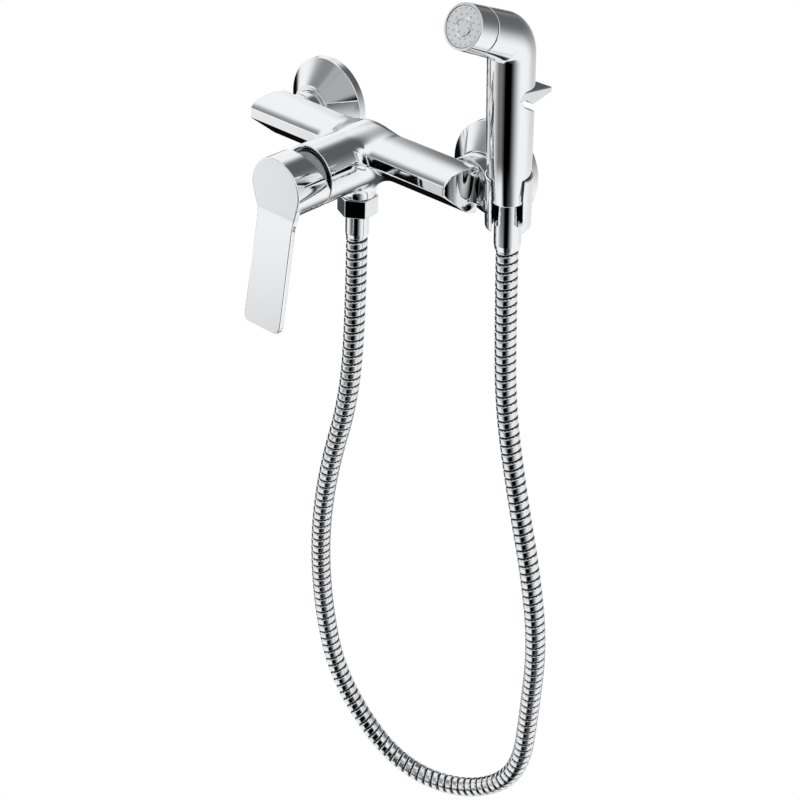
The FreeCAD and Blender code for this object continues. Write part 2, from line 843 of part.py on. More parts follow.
def head_cone(start, end, shrink=0.0):
    """A stretch of the head's tapered outside, made smaller all round by a wall."""
    radii = (head_radius(start) - shrink, head_radius(end) - shrink)
    return Part.makeCone(radii[0], radii[1], end - start, along_head(start), head_direction)


def head_barrel(radius, start, end):
    return Part.makeCylinder(radius, end - start, along_head(start), head_direction)


def elbow(radius):
    """A quarter-like bend from the grip's axis to the head's."""
    centre = Vector(0, -elbow_bend_r, elbow_rise - elbow_tangent)
    circle = Part.makeCircle(radius, Vector(0, 0, elbow_rise - elbow_tangent), Vector(0, 0, 1))
    face = Part.Face(Part.Wire(circle))
    return face.revolve(centre, Vector(1, 0, 0), elbow_turn)


def notch():
    """The trigger's opening across the grip: round in front, with a floor that falls back."""
    width = 4 * grip_r
    end = 2 * grip_r
    end_floor = notch_front_floor - notch_floor_fall * (end - notch_front)
    corners = [(notch_front, notch_front_floor), (end, end_floor), (end, notch_top), (notch_front, notch_top)]
    points = [Vector(-width / 2, back, rise) for back, rise in corners]
    block = Part.Face(Part.makePolygon(points + points[:1])).extrude(Vector(width, 0, 0))
    front = edges_within(block, (-width, notch_front, notch_front_floor), (width, notch_front, notch_top))
    block = block.makeFillet(notch_round, [edge for edge in front if edge.Length > 2 * grip_r])
    post_size = (2 * post_half, post_back - notch_front + 1, 2 * end)
    post = Part.makeBox(*post_size, Vector(-post_half, notch_front - 1, notch_front_floor - end))
    return block.cut(post)


def handset_body():
    foot = Vector(0, 0, grip_bottom)
    cone = Part.makeCone(grip_end_r, grip_r, taper_top - grip_bottom, foot, Vector(0, 0, 1))
    grip = column(grip_r, taper_top, elbow_rise - elbow_tangent)
    seam = seam_from_elbow
    head = head_cone(elbow_tangent, seam)
    groove = head_cone(seam - 1, seam + seam_gap, seam_depth)
    spigot = head_barrel(collar_thread_r, seam, seam + seam_gap + collar_thread_length)
    solid = cone.fuse([grip, elbow(grip_r), head, groove, spigot]).removeSplitter()
    inlet_top = grip_bottom + spigot_length
    cross_start = Vector(0, -riser_forward, cross_channel_rise)
    bores = [
        column(spigot_r + slip_gap, grip_bottom, inlet_top),
        column(inlet_channel_r, inlet_top - 1, chamber_valve_bottom + 1, 0, valve_back),
        column(chamber_valve_r, chamber_valve_bottom, chamber_valve_top, 0, valve_back),
        column(plunger_rod_r + slip_gap, chamber_valve_top - 1, notch_front_floor, 0, valve_back),
        column(riser_r, cross_channel_rise - riser_r, elbow_rise - elbow_tangent, 0, -riser_forward),
        Part.makeCylinder(cross_channel_r, riser_forward, cross_start, Vector(0, 1, 0)),
        head_barrel(head_bore_r, 0, seam + seam_gap + collar_thread_length),
        notch(),
    ]
    pin = trigger_pin_r
    hole_start = Vector(-2 * post_half, trigger_pivot_back, trigger_pivot_rise)
    bores.append(Part.makeCylinder(pin, 4 * post_half, hole_start, Vector(1, 0, 0)))
    return seat_handset(solid.cut(bores))


def spray_collar():
    start = seam_from_elbow + seam_gap
    outside = head_cone(start, head_length)
    inner = head_end_r - collar_wall
    thread = head_barrel(collar_thread_r + slip_gap, start, start + collar_thread_length)
    chamber = head_barrel(inner, start + collar_thread_length, head_length)
    return seat_handset(outside.cut([thread, chamber]))


def spray_face():
    front = head_length - face_recess
    back = front - face_thickness
    radius = head_end_r - collar_wall - slip_gap
    solid = head_barrel(radius, back, front)
    side = Vector(1, 0, 0)
    up = head_direction.cross(side)
    holes = []
    for ring, count in enumerate(face_rings):
        ring_r = face_ring_first + face_ring_pitch * ring
        for i in range(count):
            turn = 2 * math.pi * i / count
            centre = along_head(back) + side * (ring_r * math.cos(turn)) + up * (ring_r * math.sin(turn))
            holes.append(Part.makeCylinder(nozzle_r, face_thickness, centre, head_direction))
    return seat_handset(solid.cut(holes))


def face_seal():
    back = head_length - face_recess - face_thickness
    front_of_spigot = seam_from_elbow + seam_gap + collar_thread_length
    radius = head_end_r - collar_wall - slip_gap
    ring = head_barrel(radius, front_of_spigot, back)
    return seat_handset(ring.cut(head_barrel(head_bore_r, front_of_spigot, back)))


def hose_connector():
    spigot_top = grip_bottom + spigot_length - joint_gap - connector_seal_thickness
    bottom = connector_end
    profile = [
        (hose_bore_r, bottom), (connector_r - connector_taper, bottom),
        (connector_r, bottom + connector_taper_length), (connector_r, grip_bottom - joint_gap),
        (spigot_r, grip_bottom - joint_gap), (spigot_r, spigot_top), (hose_bore_r, spigot_top),
    ]
    return seat_handset(lathe_up(profile))


def connector_seal():
    top = grip_bottom + spigot_length - slip_gap
    bottom = top - connector_seal_thickness
    ring = column(spigot_r, bottom, top)
    return seat_handset(ring.cut(column(hose_bore_r, bottom, top)))


# Trigger and valve

def trigger():
    """The thumb paddle: two ears on the pin, a web behind the post, and a wedge that tapers to its tip."""
    length = 2 * trigger_half
    side = Vector(1, 0, 0)
    pivot = Vector(-trigger_half, trigger_pivot_back, trigger_pivot_rise)
    ear = Part.makeCylinder(trigger_ear_r, length, pivot, side)
    root_top = trigger_pivot_rise + trigger_ear_r
    root_bottom = trigger_pivot_rise - trigger_ear_r
    tip_top = trigger_tip_rise + trigger_tip_thickness / 2
    tip_bottom = trigger_tip_rise - trigger_tip_thickness / 2
    cam_start = valve_back - plunger_rod_r
    cam_end = valve_back + plunger_rod_r + trigger_cam_spare
    corners = [
        (trigger_pivot_back, root_bottom), (cam_start, trigger_cam_rise), (cam_end, trigger_cam_rise),
        (trigger_heel_back, trigger_heel_rise), (trigger_tip_back, tip_bottom), (trigger_tip_back, tip_top),
        (trigger_brow_back, trigger_brow_rise), (trigger_pivot_back, root_top),
    ]
    points = [Vector(-trigger_half, back, rise) for back, rise in corners]
    wedge = Part.Face(Part.makePolygon(points + points[:1])).extrude(Vector(length, 0, 0))
    tip_low = (-trigger_half - 1, trigger_tip_back, tip_bottom - 1)
    tip_high = (trigger_half + 1, trigger_tip_back, tip_top + 1)
    wedge = wedge.makeFillet(trigger_edge_round, edges_within(wedge, tip_low, tip_high))
    solid = wedge.fuse(ear)
    gap_half = post_half + joint_gap
    reach = 3 * trigger_ear_r
    slot_start = trigger_pivot_back - reach
    slot = Part.makeBox(
        2 * gap_half, trigger_web_back - slot_start, 2 * reach,
        Vector(-gap_half, slot_start, trigger_pivot_rise - reach)
    )
    hole = Part.makeCylinder(trigger_pin_r + pin_gap, length, pivot, side)
    return seat_handset(solid.cut([slot, hole]))


def trigger_pin():
    start = Vector(-trigger_half, trigger_pivot_back, trigger_pivot_rise)
    return seat_handset(Part.makeCylinder(trigger_pin_r, 2 * trigger_half, start, Vector(1, 0, 0)))


def valve_seat():
    bottom = valve_seat_bottom
    top = bottom + valve_seat_thickness
    ring = column(chamber_valve_r - slip_gap, bottom, top, 0, valve_back)
    return seat_handset(ring.cut(column(valve_seat_bore_r, bottom, top, 0, valve_back)))


def valve_plunger():
    rod = column(plunger_rod_r, poppet_bottom, trigger_cam_rise - joint_gap, 0, valve_back)
    poppet = column(poppet_r, poppet_bottom, poppet_bottom + poppet_thickness, 0, valve_back)
    return seat_handset(rod.fuse(poppet))


def valve_seal():
    bottom = poppet_bottom + poppet_thickness
    ring = column(poppet_r, bottom, bottom + valve_seal_thickness, 0, valve_back)
    return seat_handset(ring.cut(column(plunger_rod_r, bottom, bottom + valve_seal_thickness, 0, valve_back)))


def valve_spring():
    ring = column(spring_r, chamber_valve_bottom, poppet_bottom, 0, valve_back)
    inner = column(spring_r - spring_wire, chamber_valve_bottom, poppet_bottom, 0, valve_back)
    return seat_handset(ring.cut(inner))


# Holder

def holder_cup():
    """The cup's outside, before it is leaned."""
    return lathe_up([
        (0, cup_bottom), (cup_bottom_r - cup_bottom_round, cup_bottom),
        (cup_bottom_r, cup_bottom + cup_bottom_round), (cup_r, cup_top), (0, cup_top),
    ])


def cup_hollow():
    """The cup's inside: it follows the grip's taper down to a shelf, and is narrower below the shelf."""
    bottom_r = grip_radius(grip_bottom) + joint_gap
    slope = (grip_r - grip_end_r) / (taper_top - grip_bottom)
    low_r = bottom_r - slope * (grip_bottom - cup_shelf)
    high_r = low_r + slope * (cup_top - cup_shelf)
    return lathe_up([
        (0, cup_bottom), (cup_shelf_r, cup_bottom), (cup_shelf_r, cup_shelf), (low_r, cup_shelf),
        (high_r, cup_top), (0, cup_top),
    ])


def cup_slot():
    """The slot that the hose passes through, wider at the cup's mouth."""
    reach = 2 * cup_r
    over = 1.0
    corners = [
        (-slot_half, cup_bottom - over), (slot_half, cup_bottom - over), (slot_half, slot_flare_rise),
        (slot_mouth_half, cup_top), (slot_mouth_half, cup_top + over),
        (-slot_mouth_half, cup_top + over), (-slot_mouth_half, cup_top), (-slot_half, slot_flare_rise),
    ]
    points = [Vector(x, 0, rise) for x, rise in corners]
    solid = Part.Face(Part.makePolygon(points + points[:1])).extrude(Vector(0, -reach, 0))
    solid.rotate(Vector(0, 0, 0), Vector(0, 0, 1), slot_azimuth)
    return solid


def neck_section(x, back, front):
    top = neck_half_height - neck_drop
    bottom = -neck_half_height - neck_drop
    corners = [point(x, back, bottom), point(x, front, bottom), point(x, front, top), point(x, back, top)]
    return Part.makePolygon(corners + corners[:1])


def handset_holder():
    right = inlet_spacing / 2
    ring = barrel(holder_ring_r, holder_ring_back, holder_ring_front, right)
    start = neck_section(right, holder_ring_back, holder_ring_front)
    root = neck_section(right + neck_root_length, holder_ring_back, holder_ring_front)
    end = neck_section(bar_half_length + neck_beyond_bar, neck_back_out, neck_front_out)
    neck = Part.makeLoft([start, root, end], True, True)
    solid = ring.fuse([neck, seat_handset(holder_cup())]).removeSplitter()
    bore = barrel(nut_r + slip_gap, neck_back_out, neck_front_out, right)
    middle = (holder_ring_back + holder_ring_front) / 2
    screw_hole = upright(holder_screw_r, -holder_ring_r - 1, 0, right, middle)
    return solid.cut([bore, screw_hole, seat_handset(cup_hollow()), seat_handset(cup_slot())])


def holder_screw():
    middle = (holder_ring_back + holder_ring_front) / 2
    top = -nut_r - 0.05
    screw = upright(holder_screw_r, -holder_ring_r, top, inlet_spacing / 2, middle)
    return screw.cut(upright(holder_screw_r / 2, -holder_ring_r, top - 1.2, inlet_spacing / 2, middle))


# Hose: straight runs joined by tangent arcs, with a ruled surface through the ribs' circles

def handset_axis(rise):
    """A point on the handset's axis."""
    lean = math.radians(handset_lean)
    return point(handset_x, handset_out, 0) + Vector(0, -math.sin(lean), math.cos(lean)) * rise


def hose_route():
    route = [point(*place) for place in hose_points]
    return route + [handset_axis(connector_end - hose_last_run), handset_axis(connector_end)]


def hose_path():
    """The route's edges, and the radius of each arc."""
    route = hose_route()
    edges = []
    radii = []
    here = route[0]
    for before, corner, after in zip(route, route[1:], route[2:]):
        back = before - corner
        on = after - corner
        turn = math.pi - back.getAngle(on)
        shorter = min(back.Length, on.Length)
        reach = 0.45 * shorter
        radius = reach / math.tan(turn / 2)
        start = corner + back.normalize() * reach
        end = corner + on.normalize() * reach
        inwards = (start + end) * 0.5 - corner
        sagitta = radius / math.cos(turn / 2) - radius
        middle = corner + inwards.normalize() * sagitta
        edges.append(Part.makeLine(here, start))
        edges.append(Part.Arc(start, middle, end).toShape())
        radii.append(radius)
        here = end
    edges.append(Part.makeLine(here, route[-1]))
    return edges, radii


def path_frames(edges, distances):
    """The point and direction at each distance along the path."""
    frames = []
    lengths = [edge.Length for edge in edges]
    for distance in distances:
        left = distance
        index = 0
        while index < len(edges) - 1 and left > lengths[index]:
            left -= lengths[index]
            index += 1
        edge = edges[index]
        parameter = edge.getParameterByLength(min(left, lengths[index]))
        frames.append((edge.valueAt(parameter), edge.tangentAt(parameter)))
    return frames


def hose_circle(centre, direction, radius):
    """A circle square to the path, whose own X axis keeps to the wall's normal."""
    x_axis = Vector(0, 1, 0) - direction * direction.y
    turn = FreeCAD.Rotation(x_axis, direction.cross(x_axis), direction, "XZY")
    circle = Part.makeCircle(radius)
    circle.Placement = FreeCAD.Placement(centre, turn)
    return Part.Wire(circle)


def rib_section():
    """The mean area of the ribbed outside, taken along one rib."""
    places = list(hose_rib_profile) + [1.0]
    radii = [hose_groove_r, hose_crest_r, hose_crest_r, hose_groove_r, hose_groove_r]
    area = 0.0
    for start, end, first, last in zip(places, places[1:], radii, radii[1:]):
        area += math.pi / 3 * (first ** 2 + first * last + last ** 2) * (end - start)
    return area


def hose():
    edges, arc_radii = hose_path()
    length = sum(edge.Length for edge in edges)
    pitch = length / hose_rib_count
    radii = (hose_groove_r, hose_crest_r, hose_crest_r, hose_groove_r)
    distances = [(rib + place) * pitch for rib in range(hose_rib_count) for place in hose_rib_profile]
    frames = path_frames(edges, distances + [length])
    sizes = list(radii) * hose_rib_count + [hose_groove_r]
    circles = [hose_circle(at, along, radius) for (at, along), radius in zip(frames, sizes)]
    outside = Part.makeLoft(circles, True, True)
    bore = [hose_circle(at, along, hose_bore_r) for at, along in frames[::4]]
    inside = Part.makeLoft(bore, True, True)
    print("hose arc radii", [round(radius) for radius in arc_radii])
    print("hose length %.1f, rib pitch %.2f" % (length, pitch))
    print("hose outside %.0f, section by length %.0f" % (outside.Volume, rib_section() * length))
    return outside.cut(inside)


os.makedirs("parts", exist_ok=True)

for side_name, side_x in (("left", -inlet_spacing / 2), ("right", inlet_spacing / 2)):
    save("wall_union_" + side_name, wall_union(side_x))
    save("escutcheon_" + side_name, escutcheon(side_x))
    save("union_nut_" + side_name, union_nut(side_x))
    save("inlet_washer_" + side_name, inlet_washer(side_x))

save("mixer_body", mixer_body())
save("cartridge_base", cartridge_base())
save("cartridge_seals", cartridge_seals())
save("fixed_disc", fixed_disc())
save("moving_disc", moving_disc())
save("disc_carrier", disc_carrier())
save("cartridge_housing", cartridge_housing())
save("stem_guide", stem_guide())
save("stem_pin", stem_pin())
save("cartridge_stem", cartridge_stem())
save("retaining_nut", retaining_nut())
save("cover_dome", cover_dome())
save("lever_handle", lever_handle())
save("lever_screw", lever_screw())
save("lever_plug", lever_plug())
save("check_valve", check_valve())
save("outlet_washer", outlet_washer())
save("hose_nut", hose_nut())
save("hose_ferrule", hose_ferrule())
save("hose", hose())
save("hose_connector", hose_connector())
save("connector_seal", connector_seal())
save("handset_body", handset_body())
save("spray_collar", spray_collar())
save("spray_face", spray_face())
save("face_seal", face_seal())
save("trigger", trigger())
save("trigger_pin", trigger_pin())
save("valve_seat", valve_seat())
save("valve_plunger", valve_plunger())
save("valve_seal", valve_seal())
save("valve_spring", valve_spring())
save("handset_holder", handset_holder())
save("holder_screw", holder_screw())
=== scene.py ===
# %% [markdown]
# # A bidet shower mixer, dressed in Blender
#
# The real object is a wall mixer: two conical covers on the wall, a wedge-shaped bar with a lever cylinder
# through its middle, a ribbed metal hose in one long loop, and a trigger spray handset in a slotted cup.
# Its construction comes packed, with every node in its place in metres. This script reads that frame and
# makes the visible surfaces: smooth chrome, sharp narrow seams, and a hose with its real ribs.

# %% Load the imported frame
import json
import math

import bpy
import numpy as np
from mathutils import Matrix, Vector


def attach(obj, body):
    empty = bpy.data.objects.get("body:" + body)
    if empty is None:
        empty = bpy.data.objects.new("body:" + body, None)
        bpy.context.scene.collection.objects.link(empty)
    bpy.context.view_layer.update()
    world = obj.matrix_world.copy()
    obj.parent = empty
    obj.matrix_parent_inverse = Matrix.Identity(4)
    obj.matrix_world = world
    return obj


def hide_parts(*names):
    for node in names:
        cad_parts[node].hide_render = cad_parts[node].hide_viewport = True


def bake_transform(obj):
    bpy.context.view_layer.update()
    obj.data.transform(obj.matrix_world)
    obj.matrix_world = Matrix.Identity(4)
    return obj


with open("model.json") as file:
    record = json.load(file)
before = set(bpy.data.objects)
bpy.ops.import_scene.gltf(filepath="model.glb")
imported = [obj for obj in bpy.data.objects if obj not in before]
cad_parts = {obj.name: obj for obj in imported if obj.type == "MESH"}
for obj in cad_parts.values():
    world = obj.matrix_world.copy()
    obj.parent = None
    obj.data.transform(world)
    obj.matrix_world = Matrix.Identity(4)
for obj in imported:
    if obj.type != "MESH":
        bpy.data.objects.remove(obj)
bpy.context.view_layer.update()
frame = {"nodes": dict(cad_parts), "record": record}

nodes = frame["nodes"]


def add_object(name, data):
    """A new object in the scene that carries this data."""
    thing = bpy.data.objects.new(name, data)
    bpy.context.scene.collection.objects.link(thing)
    return thing


# %% [markdown]
# ## The camera
#
# A camera could be placed by eye, but a photograph fixes it: the known places of the covers, the bar and
# the handset in the picture leave only one position, direction and focal length. These numbers are that
# answer, so the render falls on the photograph, and everything after this can be compared region by region.

# %% The photograph's camera
camera_place = Vector((0.6568, -0.7538, 0.4289))
camera_azimuth = math.radians(41.12)
camera_elevation = math.radians(32.67)
camera_roll = math.radians(2.2)
camera_lens = 72.14

sideways = Vector((math.cos(camera_azimuth), math.sin(camera_azimuth), 0))
away = Vector((
    -math.sin(camera_azimuth) * math.cos(camera_elevation),
    math.cos(camera_azimuth) * math.cos(camera_elevation), -math.sin(camera_elevation),
))
upward = sideways.cross(away)
camera_right = sideways * math.cos(camera_roll) + upward * math.sin(camera_roll)
camera_up = upward * math.cos(camera_roll) - sideways * math.sin(camera_roll)

camera_data = bpy.data.cameras.new("camera")
camera_data.lens = camera_lens
camera_data.sensor_width = 36
camera_data.clip_end = 50
camera = add_object("camera", camera_data)
turn = Matrix((camera_right, camera_up, -away)).transposed()
camera.matrix_world = Matrix.Translation(camera_place) @ turn.to_4x4()
bpy.context.scene.camera = camera
bpy.context.scene.view_settings.view_transform = "Standard"
print("camera looks along", [round(value, 4) for value in away])

# %% [markdown]
# ## Places on the handset
#
# The handset stands in its cup on an axis that leans a few degrees towards the user. Everything on it is
# easier to build in the handset's own terms: a rise along that axis, a distance back towards the wall, and
# a distance to the side. Sizes here are in millimetres, and meshes turn them into metres at the end.

# %% The handset's own axes
MM = 0.001
handset_foot = np.array([107.5, -29.7, 0.0])
handset_lean = math.radians(4.44)
handset_side = np.array([1.0, 0.0, 0.0])
handset_back = np.array([0.0, math.cos(handset_lean), math.sin(handset_lean)])
handset_rise = np.array([0.0, -math.sin(handset_lean), math.cos(handset_lean)])


def on_handset(side, back, rise):
    """The place in the row frame, in millimetres, of a point given in the handset's own terms."""
    return handset_foot + side * handset_side + back * handset_back + rise * handset_rise


def in_handset(places):
    """Side, back and rise of places in the row frame."""
    away_from_foot = places - handset_foot
    return away_from_foot @ handset_side, away_from_foot @ handset_back, away_from_foot @ handset_rise


print("handset foot", handset_foot, "top of grip", on_handset(0, 0, 95).round(1))

# %% [markdown]
# ## The hose's line
#
# The hose hangs under its own weight in one long loop between the outlet and the handset. A bevelled curve
# would be smooth, and the real one is a wound metal strip with a rib every few millimetres, so its line
# comes first: a NURBS spline whose control points are the route. The ribs then follow points read from that
# spline.

# %% The route as a NURBS spline
hose_end_rise = -36.0
hose_last_run = 58.3
route_out = [
    (0.0, 51.5, -57.6), (0.0, 51.5, -124.0), (-4.0, 52.4, -190.0), (-20.0, 56.1, -256.0),
    (-27.0, 57.8, -322.0), (-23.5, 56.7, -388.7), (-10.0, 54.1, -451.9), (25.7, 44.9, -506.2),
    (61.1, 38.0, -524.6), (98.8, 28.2, -523.4), (131.4, 20.0, -503.5), (150.8, 16.2, -469.8),
    (151.8, 14.0, -413.0), (153.0, 14.6, -348.3), (142.0, 15.6, -288.0), (126.0, 17.2, -229.0),
    (110.5, 19.0, -160.0),
]
hose_route = [(x * MM, -out * MM, z * MM) for x, out, z in route_out]
hose_route.append(tuple(on_handset(0, 0, hose_end_rise - hose_last_run) * MM))
hose_route.append(tuple(on_handset(0, 0, hose_end_rise) * MM))

line_data = bpy.data.curves.new("hose_line", "CURVE")
line_data.dimensions = "3D"
line_data.resolution_u = 24
spline = line_data.splines.new("NURBS")
spline.points.add(len(hose_route) - 1)
for control, place in zip(spline.points, hose_route):
    control.co = (*place, 1.0)
spline.order_u = 3
spline.use_endpoint_u = True
hose_line = add_object("hose_line", line_data)

line_mesh = bpy.data.meshes.new_from_object(hose_line)
hose_places = np.array([vertex.co for vertex in line_mesh.vertices])
bpy.data.objects.remove(hose_line)

# %% [markdown]
# ## Finishes
#
# Polished chrome is almost only reflection, so its material is short: a metal whose colour is nearly white
# and whose roughness is low. A perfect mirror looks like a drawing, though. A faint noise in the roughness
# and a very shallow bump stand for plating over a buffed casting. Every number that is the same all over
# stays on the shader's own socket. One helper adds a node and fills its inputs, and another makes a finish
# whose roughness a noise moves, so each finish below is one line.

# %% Helpers for nodes and materials
def add_node(tree, kind, inputs, **settings):
    """A new node's outputs. Each input is linked to the socket given for it, or holds the value given."""
    node = tree.nodes.new(kind)
    for name, value in settings.items():
        setattr(node, name, value)
    for name, value in inputs.items():
        if isinstance(value, bpy.types.NodeSocket):
            tree.links.new(value, node.inputs[name])
        else:
            node.inputs[name].default_value = value
    return node.outputs


def shader_of(material):
    """The material's Principled shader."""
    return material.node_tree.nodes["Principled BSDF"]


def new_material(name, colour, metallic, roughness):
    """A material whose Principled shader is set to one finish."""
    material = bpy.data.materials.new(name)
    material.use_nodes = True
    inputs = shader_of(material).inputs
    inputs["Base Color"].default_value = (*colour, 1)
    inputs["Metallic"].default_value = metallic
    inputs["Roughness"].default_value = roughness
    return material


def noise_of(material, scale, stretch=(1, 1, 1)):
    """A noise pattern fixed to the piece, finer where the scale is larger."""
    tree = material.node_tree
    place = add_node(tree, "ShaderNodeTexCoord", {})["Object"]
    mapped = add_node(tree, "ShaderNodeMapping", {"Vector": place, "Scale": stretch})["Vector"]
    return add_node(tree, "ShaderNodeTexNoise", {"Vector": mapped, "Scale": scale, "Detail": 2.0})["Fac"]


def grained(name, colour, metallic, roughness, grain, low, high, stretch=(1, 1, 1)):
    """A finish whose roughness a noise moves between a low and a high value."""
    material = new_material(name, colour, metallic, roughness)
    noise = noise_of(material, grain, stretch)
    spread = add_node(material.node_tree, "ShaderNodeMapRange", {
        "Value": noise, "From Min": 0.3, "From Max": 0.7, "To Min": low, "To Max": high,
    })
    material.node_tree.links.new(spread["Result"], shader_of(material).inputs["Roughness"])
    return material


def bump(material, noise, distance, strength):
    """Gives the surface a shallow relief from a noise."""
    tree = material.node_tree
    relief = add_node(tree, "ShaderNodeBump", {"Height": noise, "Distance": distance, "Strength": strength})
    tree.links.new(relief["Normal"], shader_of(material).inputs["Normal"])


def blend_colours(material, noise, colours):
    """Lets a noise move the base colour between two colours."""
    tree = material.node_tree
    ramp = tree.nodes.new("ShaderNodeValToRGB")
    for element, position, colour in zip(ramp.color_ramp.elements, (0.35, 0.65), colours):
        element.position = position
        element.color = (*colour, 1)
    tree.links.new(noise, ramp.inputs["Fac"])
    tree.links.new(ramp.outputs["Color"], shader_of(material).inputs["Base Color"])


print("material helpers ready")

# %% Polished chrome, and the finishes near it
chrome = grained("polished_chrome", (0.865, 0.875, 0.885), 1.0, 0.035, 38, 0.02, 0.05)
bump(chrome, noise_of(chrome, 90), 0.00002, 0.06)
hose_chrome = grained("hose_chrome", (0.80, 0.81, 0.83), 1.0, 0.09, 300, 0.04, 0.09)
# Near-black material for the faces down in the hose's grooves: painted shade between the ribs.
hose_groove_shade = grained("hose_groove_shade", (0.012, 0.012, 0.014), 0.5, 0.5, 500, 0.42, 0.6)
# Near-black material for faces inside hollows, the trigger's notch and the cup: painted shade.
hollow_shade = grained("casting_inside_shade", (0.035, 0.035, 0.04), 0.8, 0.42, 350, 0.34, 0.52)
shaded_chrome = grained("shaded_chrome", (0.22, 0.225, 0.235), 1.0, 0.1, 120, 0.07, 0.14)
satin = grained("satin_face", (0.90, 0.915, 0.925), 1.0, 0.4, 1500, 0.3, 0.5)
bump(satin, noise_of(satin, 1800), 0.00006, 0.5)
print("polished and dulled chrome ready")

# %% Finishes of the pieces inside
steel = grained("turned_steel", (0.62, 0.62, 0.61), 1.0, 0.3, 500, 0.22, 0.42, (1, 1, 12))
brass = grained("machined_brass", (0.72, 0.55, 0.28), 1.0, 0.3, 400, 0.22, 0.4)
rubber = grained("seal_rubber", (0.03, 0.03, 0.03), 0.0, 0.6, 600, 0.5, 0.75)
ceramic = grained("disc_ceramic", (0.88, 0.87, 0.84), 0.0, 0.12, 700, 0.08, 0.2)
plastic = new_material("cartridge_plastic", (0.42, 0.43, 0.44), 0.0, 0.45)
blend_colours(plastic, noise_of(plastic, 260), ((0.38, 0.39, 0.40), (0.46, 0.47, 0.48)))
bump(plastic, noise_of(plastic, 2500), 0.00005, 0.3)

slot_finish = {
    "chrome": chrome, "hose_steel": hose_chrome, "steel": steel, "brass": brass, "rubber": rubber,
    "ceramic": ceramic, "cartridge_plastic": plastic,
}
for subpart in frame["record"]["subparts"]:
    mesh = nodes[subpart["node"]].data
    mesh.materials.clear()
    mesh.materials.append(slot_finish[subpart["material_slot"]])
print("finishes", sorted(slot_finish))

# %% [markdown]
# ## The ribbed hose
#
# One rib winds round the hose like the thread of a screw, which is what Geometry Nodes do well. The tree
# turns the line into a curve, resamples it to a fixed number of steps for each rib, and sweeps a circle
# along it. Every point then knows how far along the line and how far round the circle it lies, so one rule
# lifts it from the groove to the crest. Faces that stay down in the groove get a near-black material, which
# is painted shade in the narrow gaps between the ribs. Modelling one rib and arraying it along the curve
# would leave a seam at every joint; the sweep stays one closed skin.

# %% A tree of nodes that sweeps ribs along a line
rib_inputs = {
    "Ribs": 165, "Steps for each rib": 16, "Sides": 32, "Groove radius": 6.5 * MM, "Crest radius": 7.3 * MM,
}
# Distances from a crest's middle, as shares of a rib, where the crest ends and where the groove begins
crest_end = 0.30
groove_start = 0.42


def math_node(tree, operation, first, second=0.5):
    """A Math node whose inputs are sockets or numbers; some operations take no second input."""
    return add_node(tree, "ShaderNodeMath", {0: first, 1: second}, operation=operation)[0]


def keep_on_points(tree, geometry, name, value, kind="FLOAT"):
    """Stores a value under a name on each point, and gives back the geometry."""
    inputs = {"Geometry": geometry, "Name": name, "Value": value}
    return add_node(tree, "GeometryNodeStoreNamedAttribute", inputs, data_type=kind, domain="POINT")[0]


def kept_value(tree, name, kind="FLOAT"):
    """Reads a value stored under a name."""
    return add_node(tree, "GeometryNodeInputNamedAttribute", {"Name": name}, data_type=kind)["Attribute"]


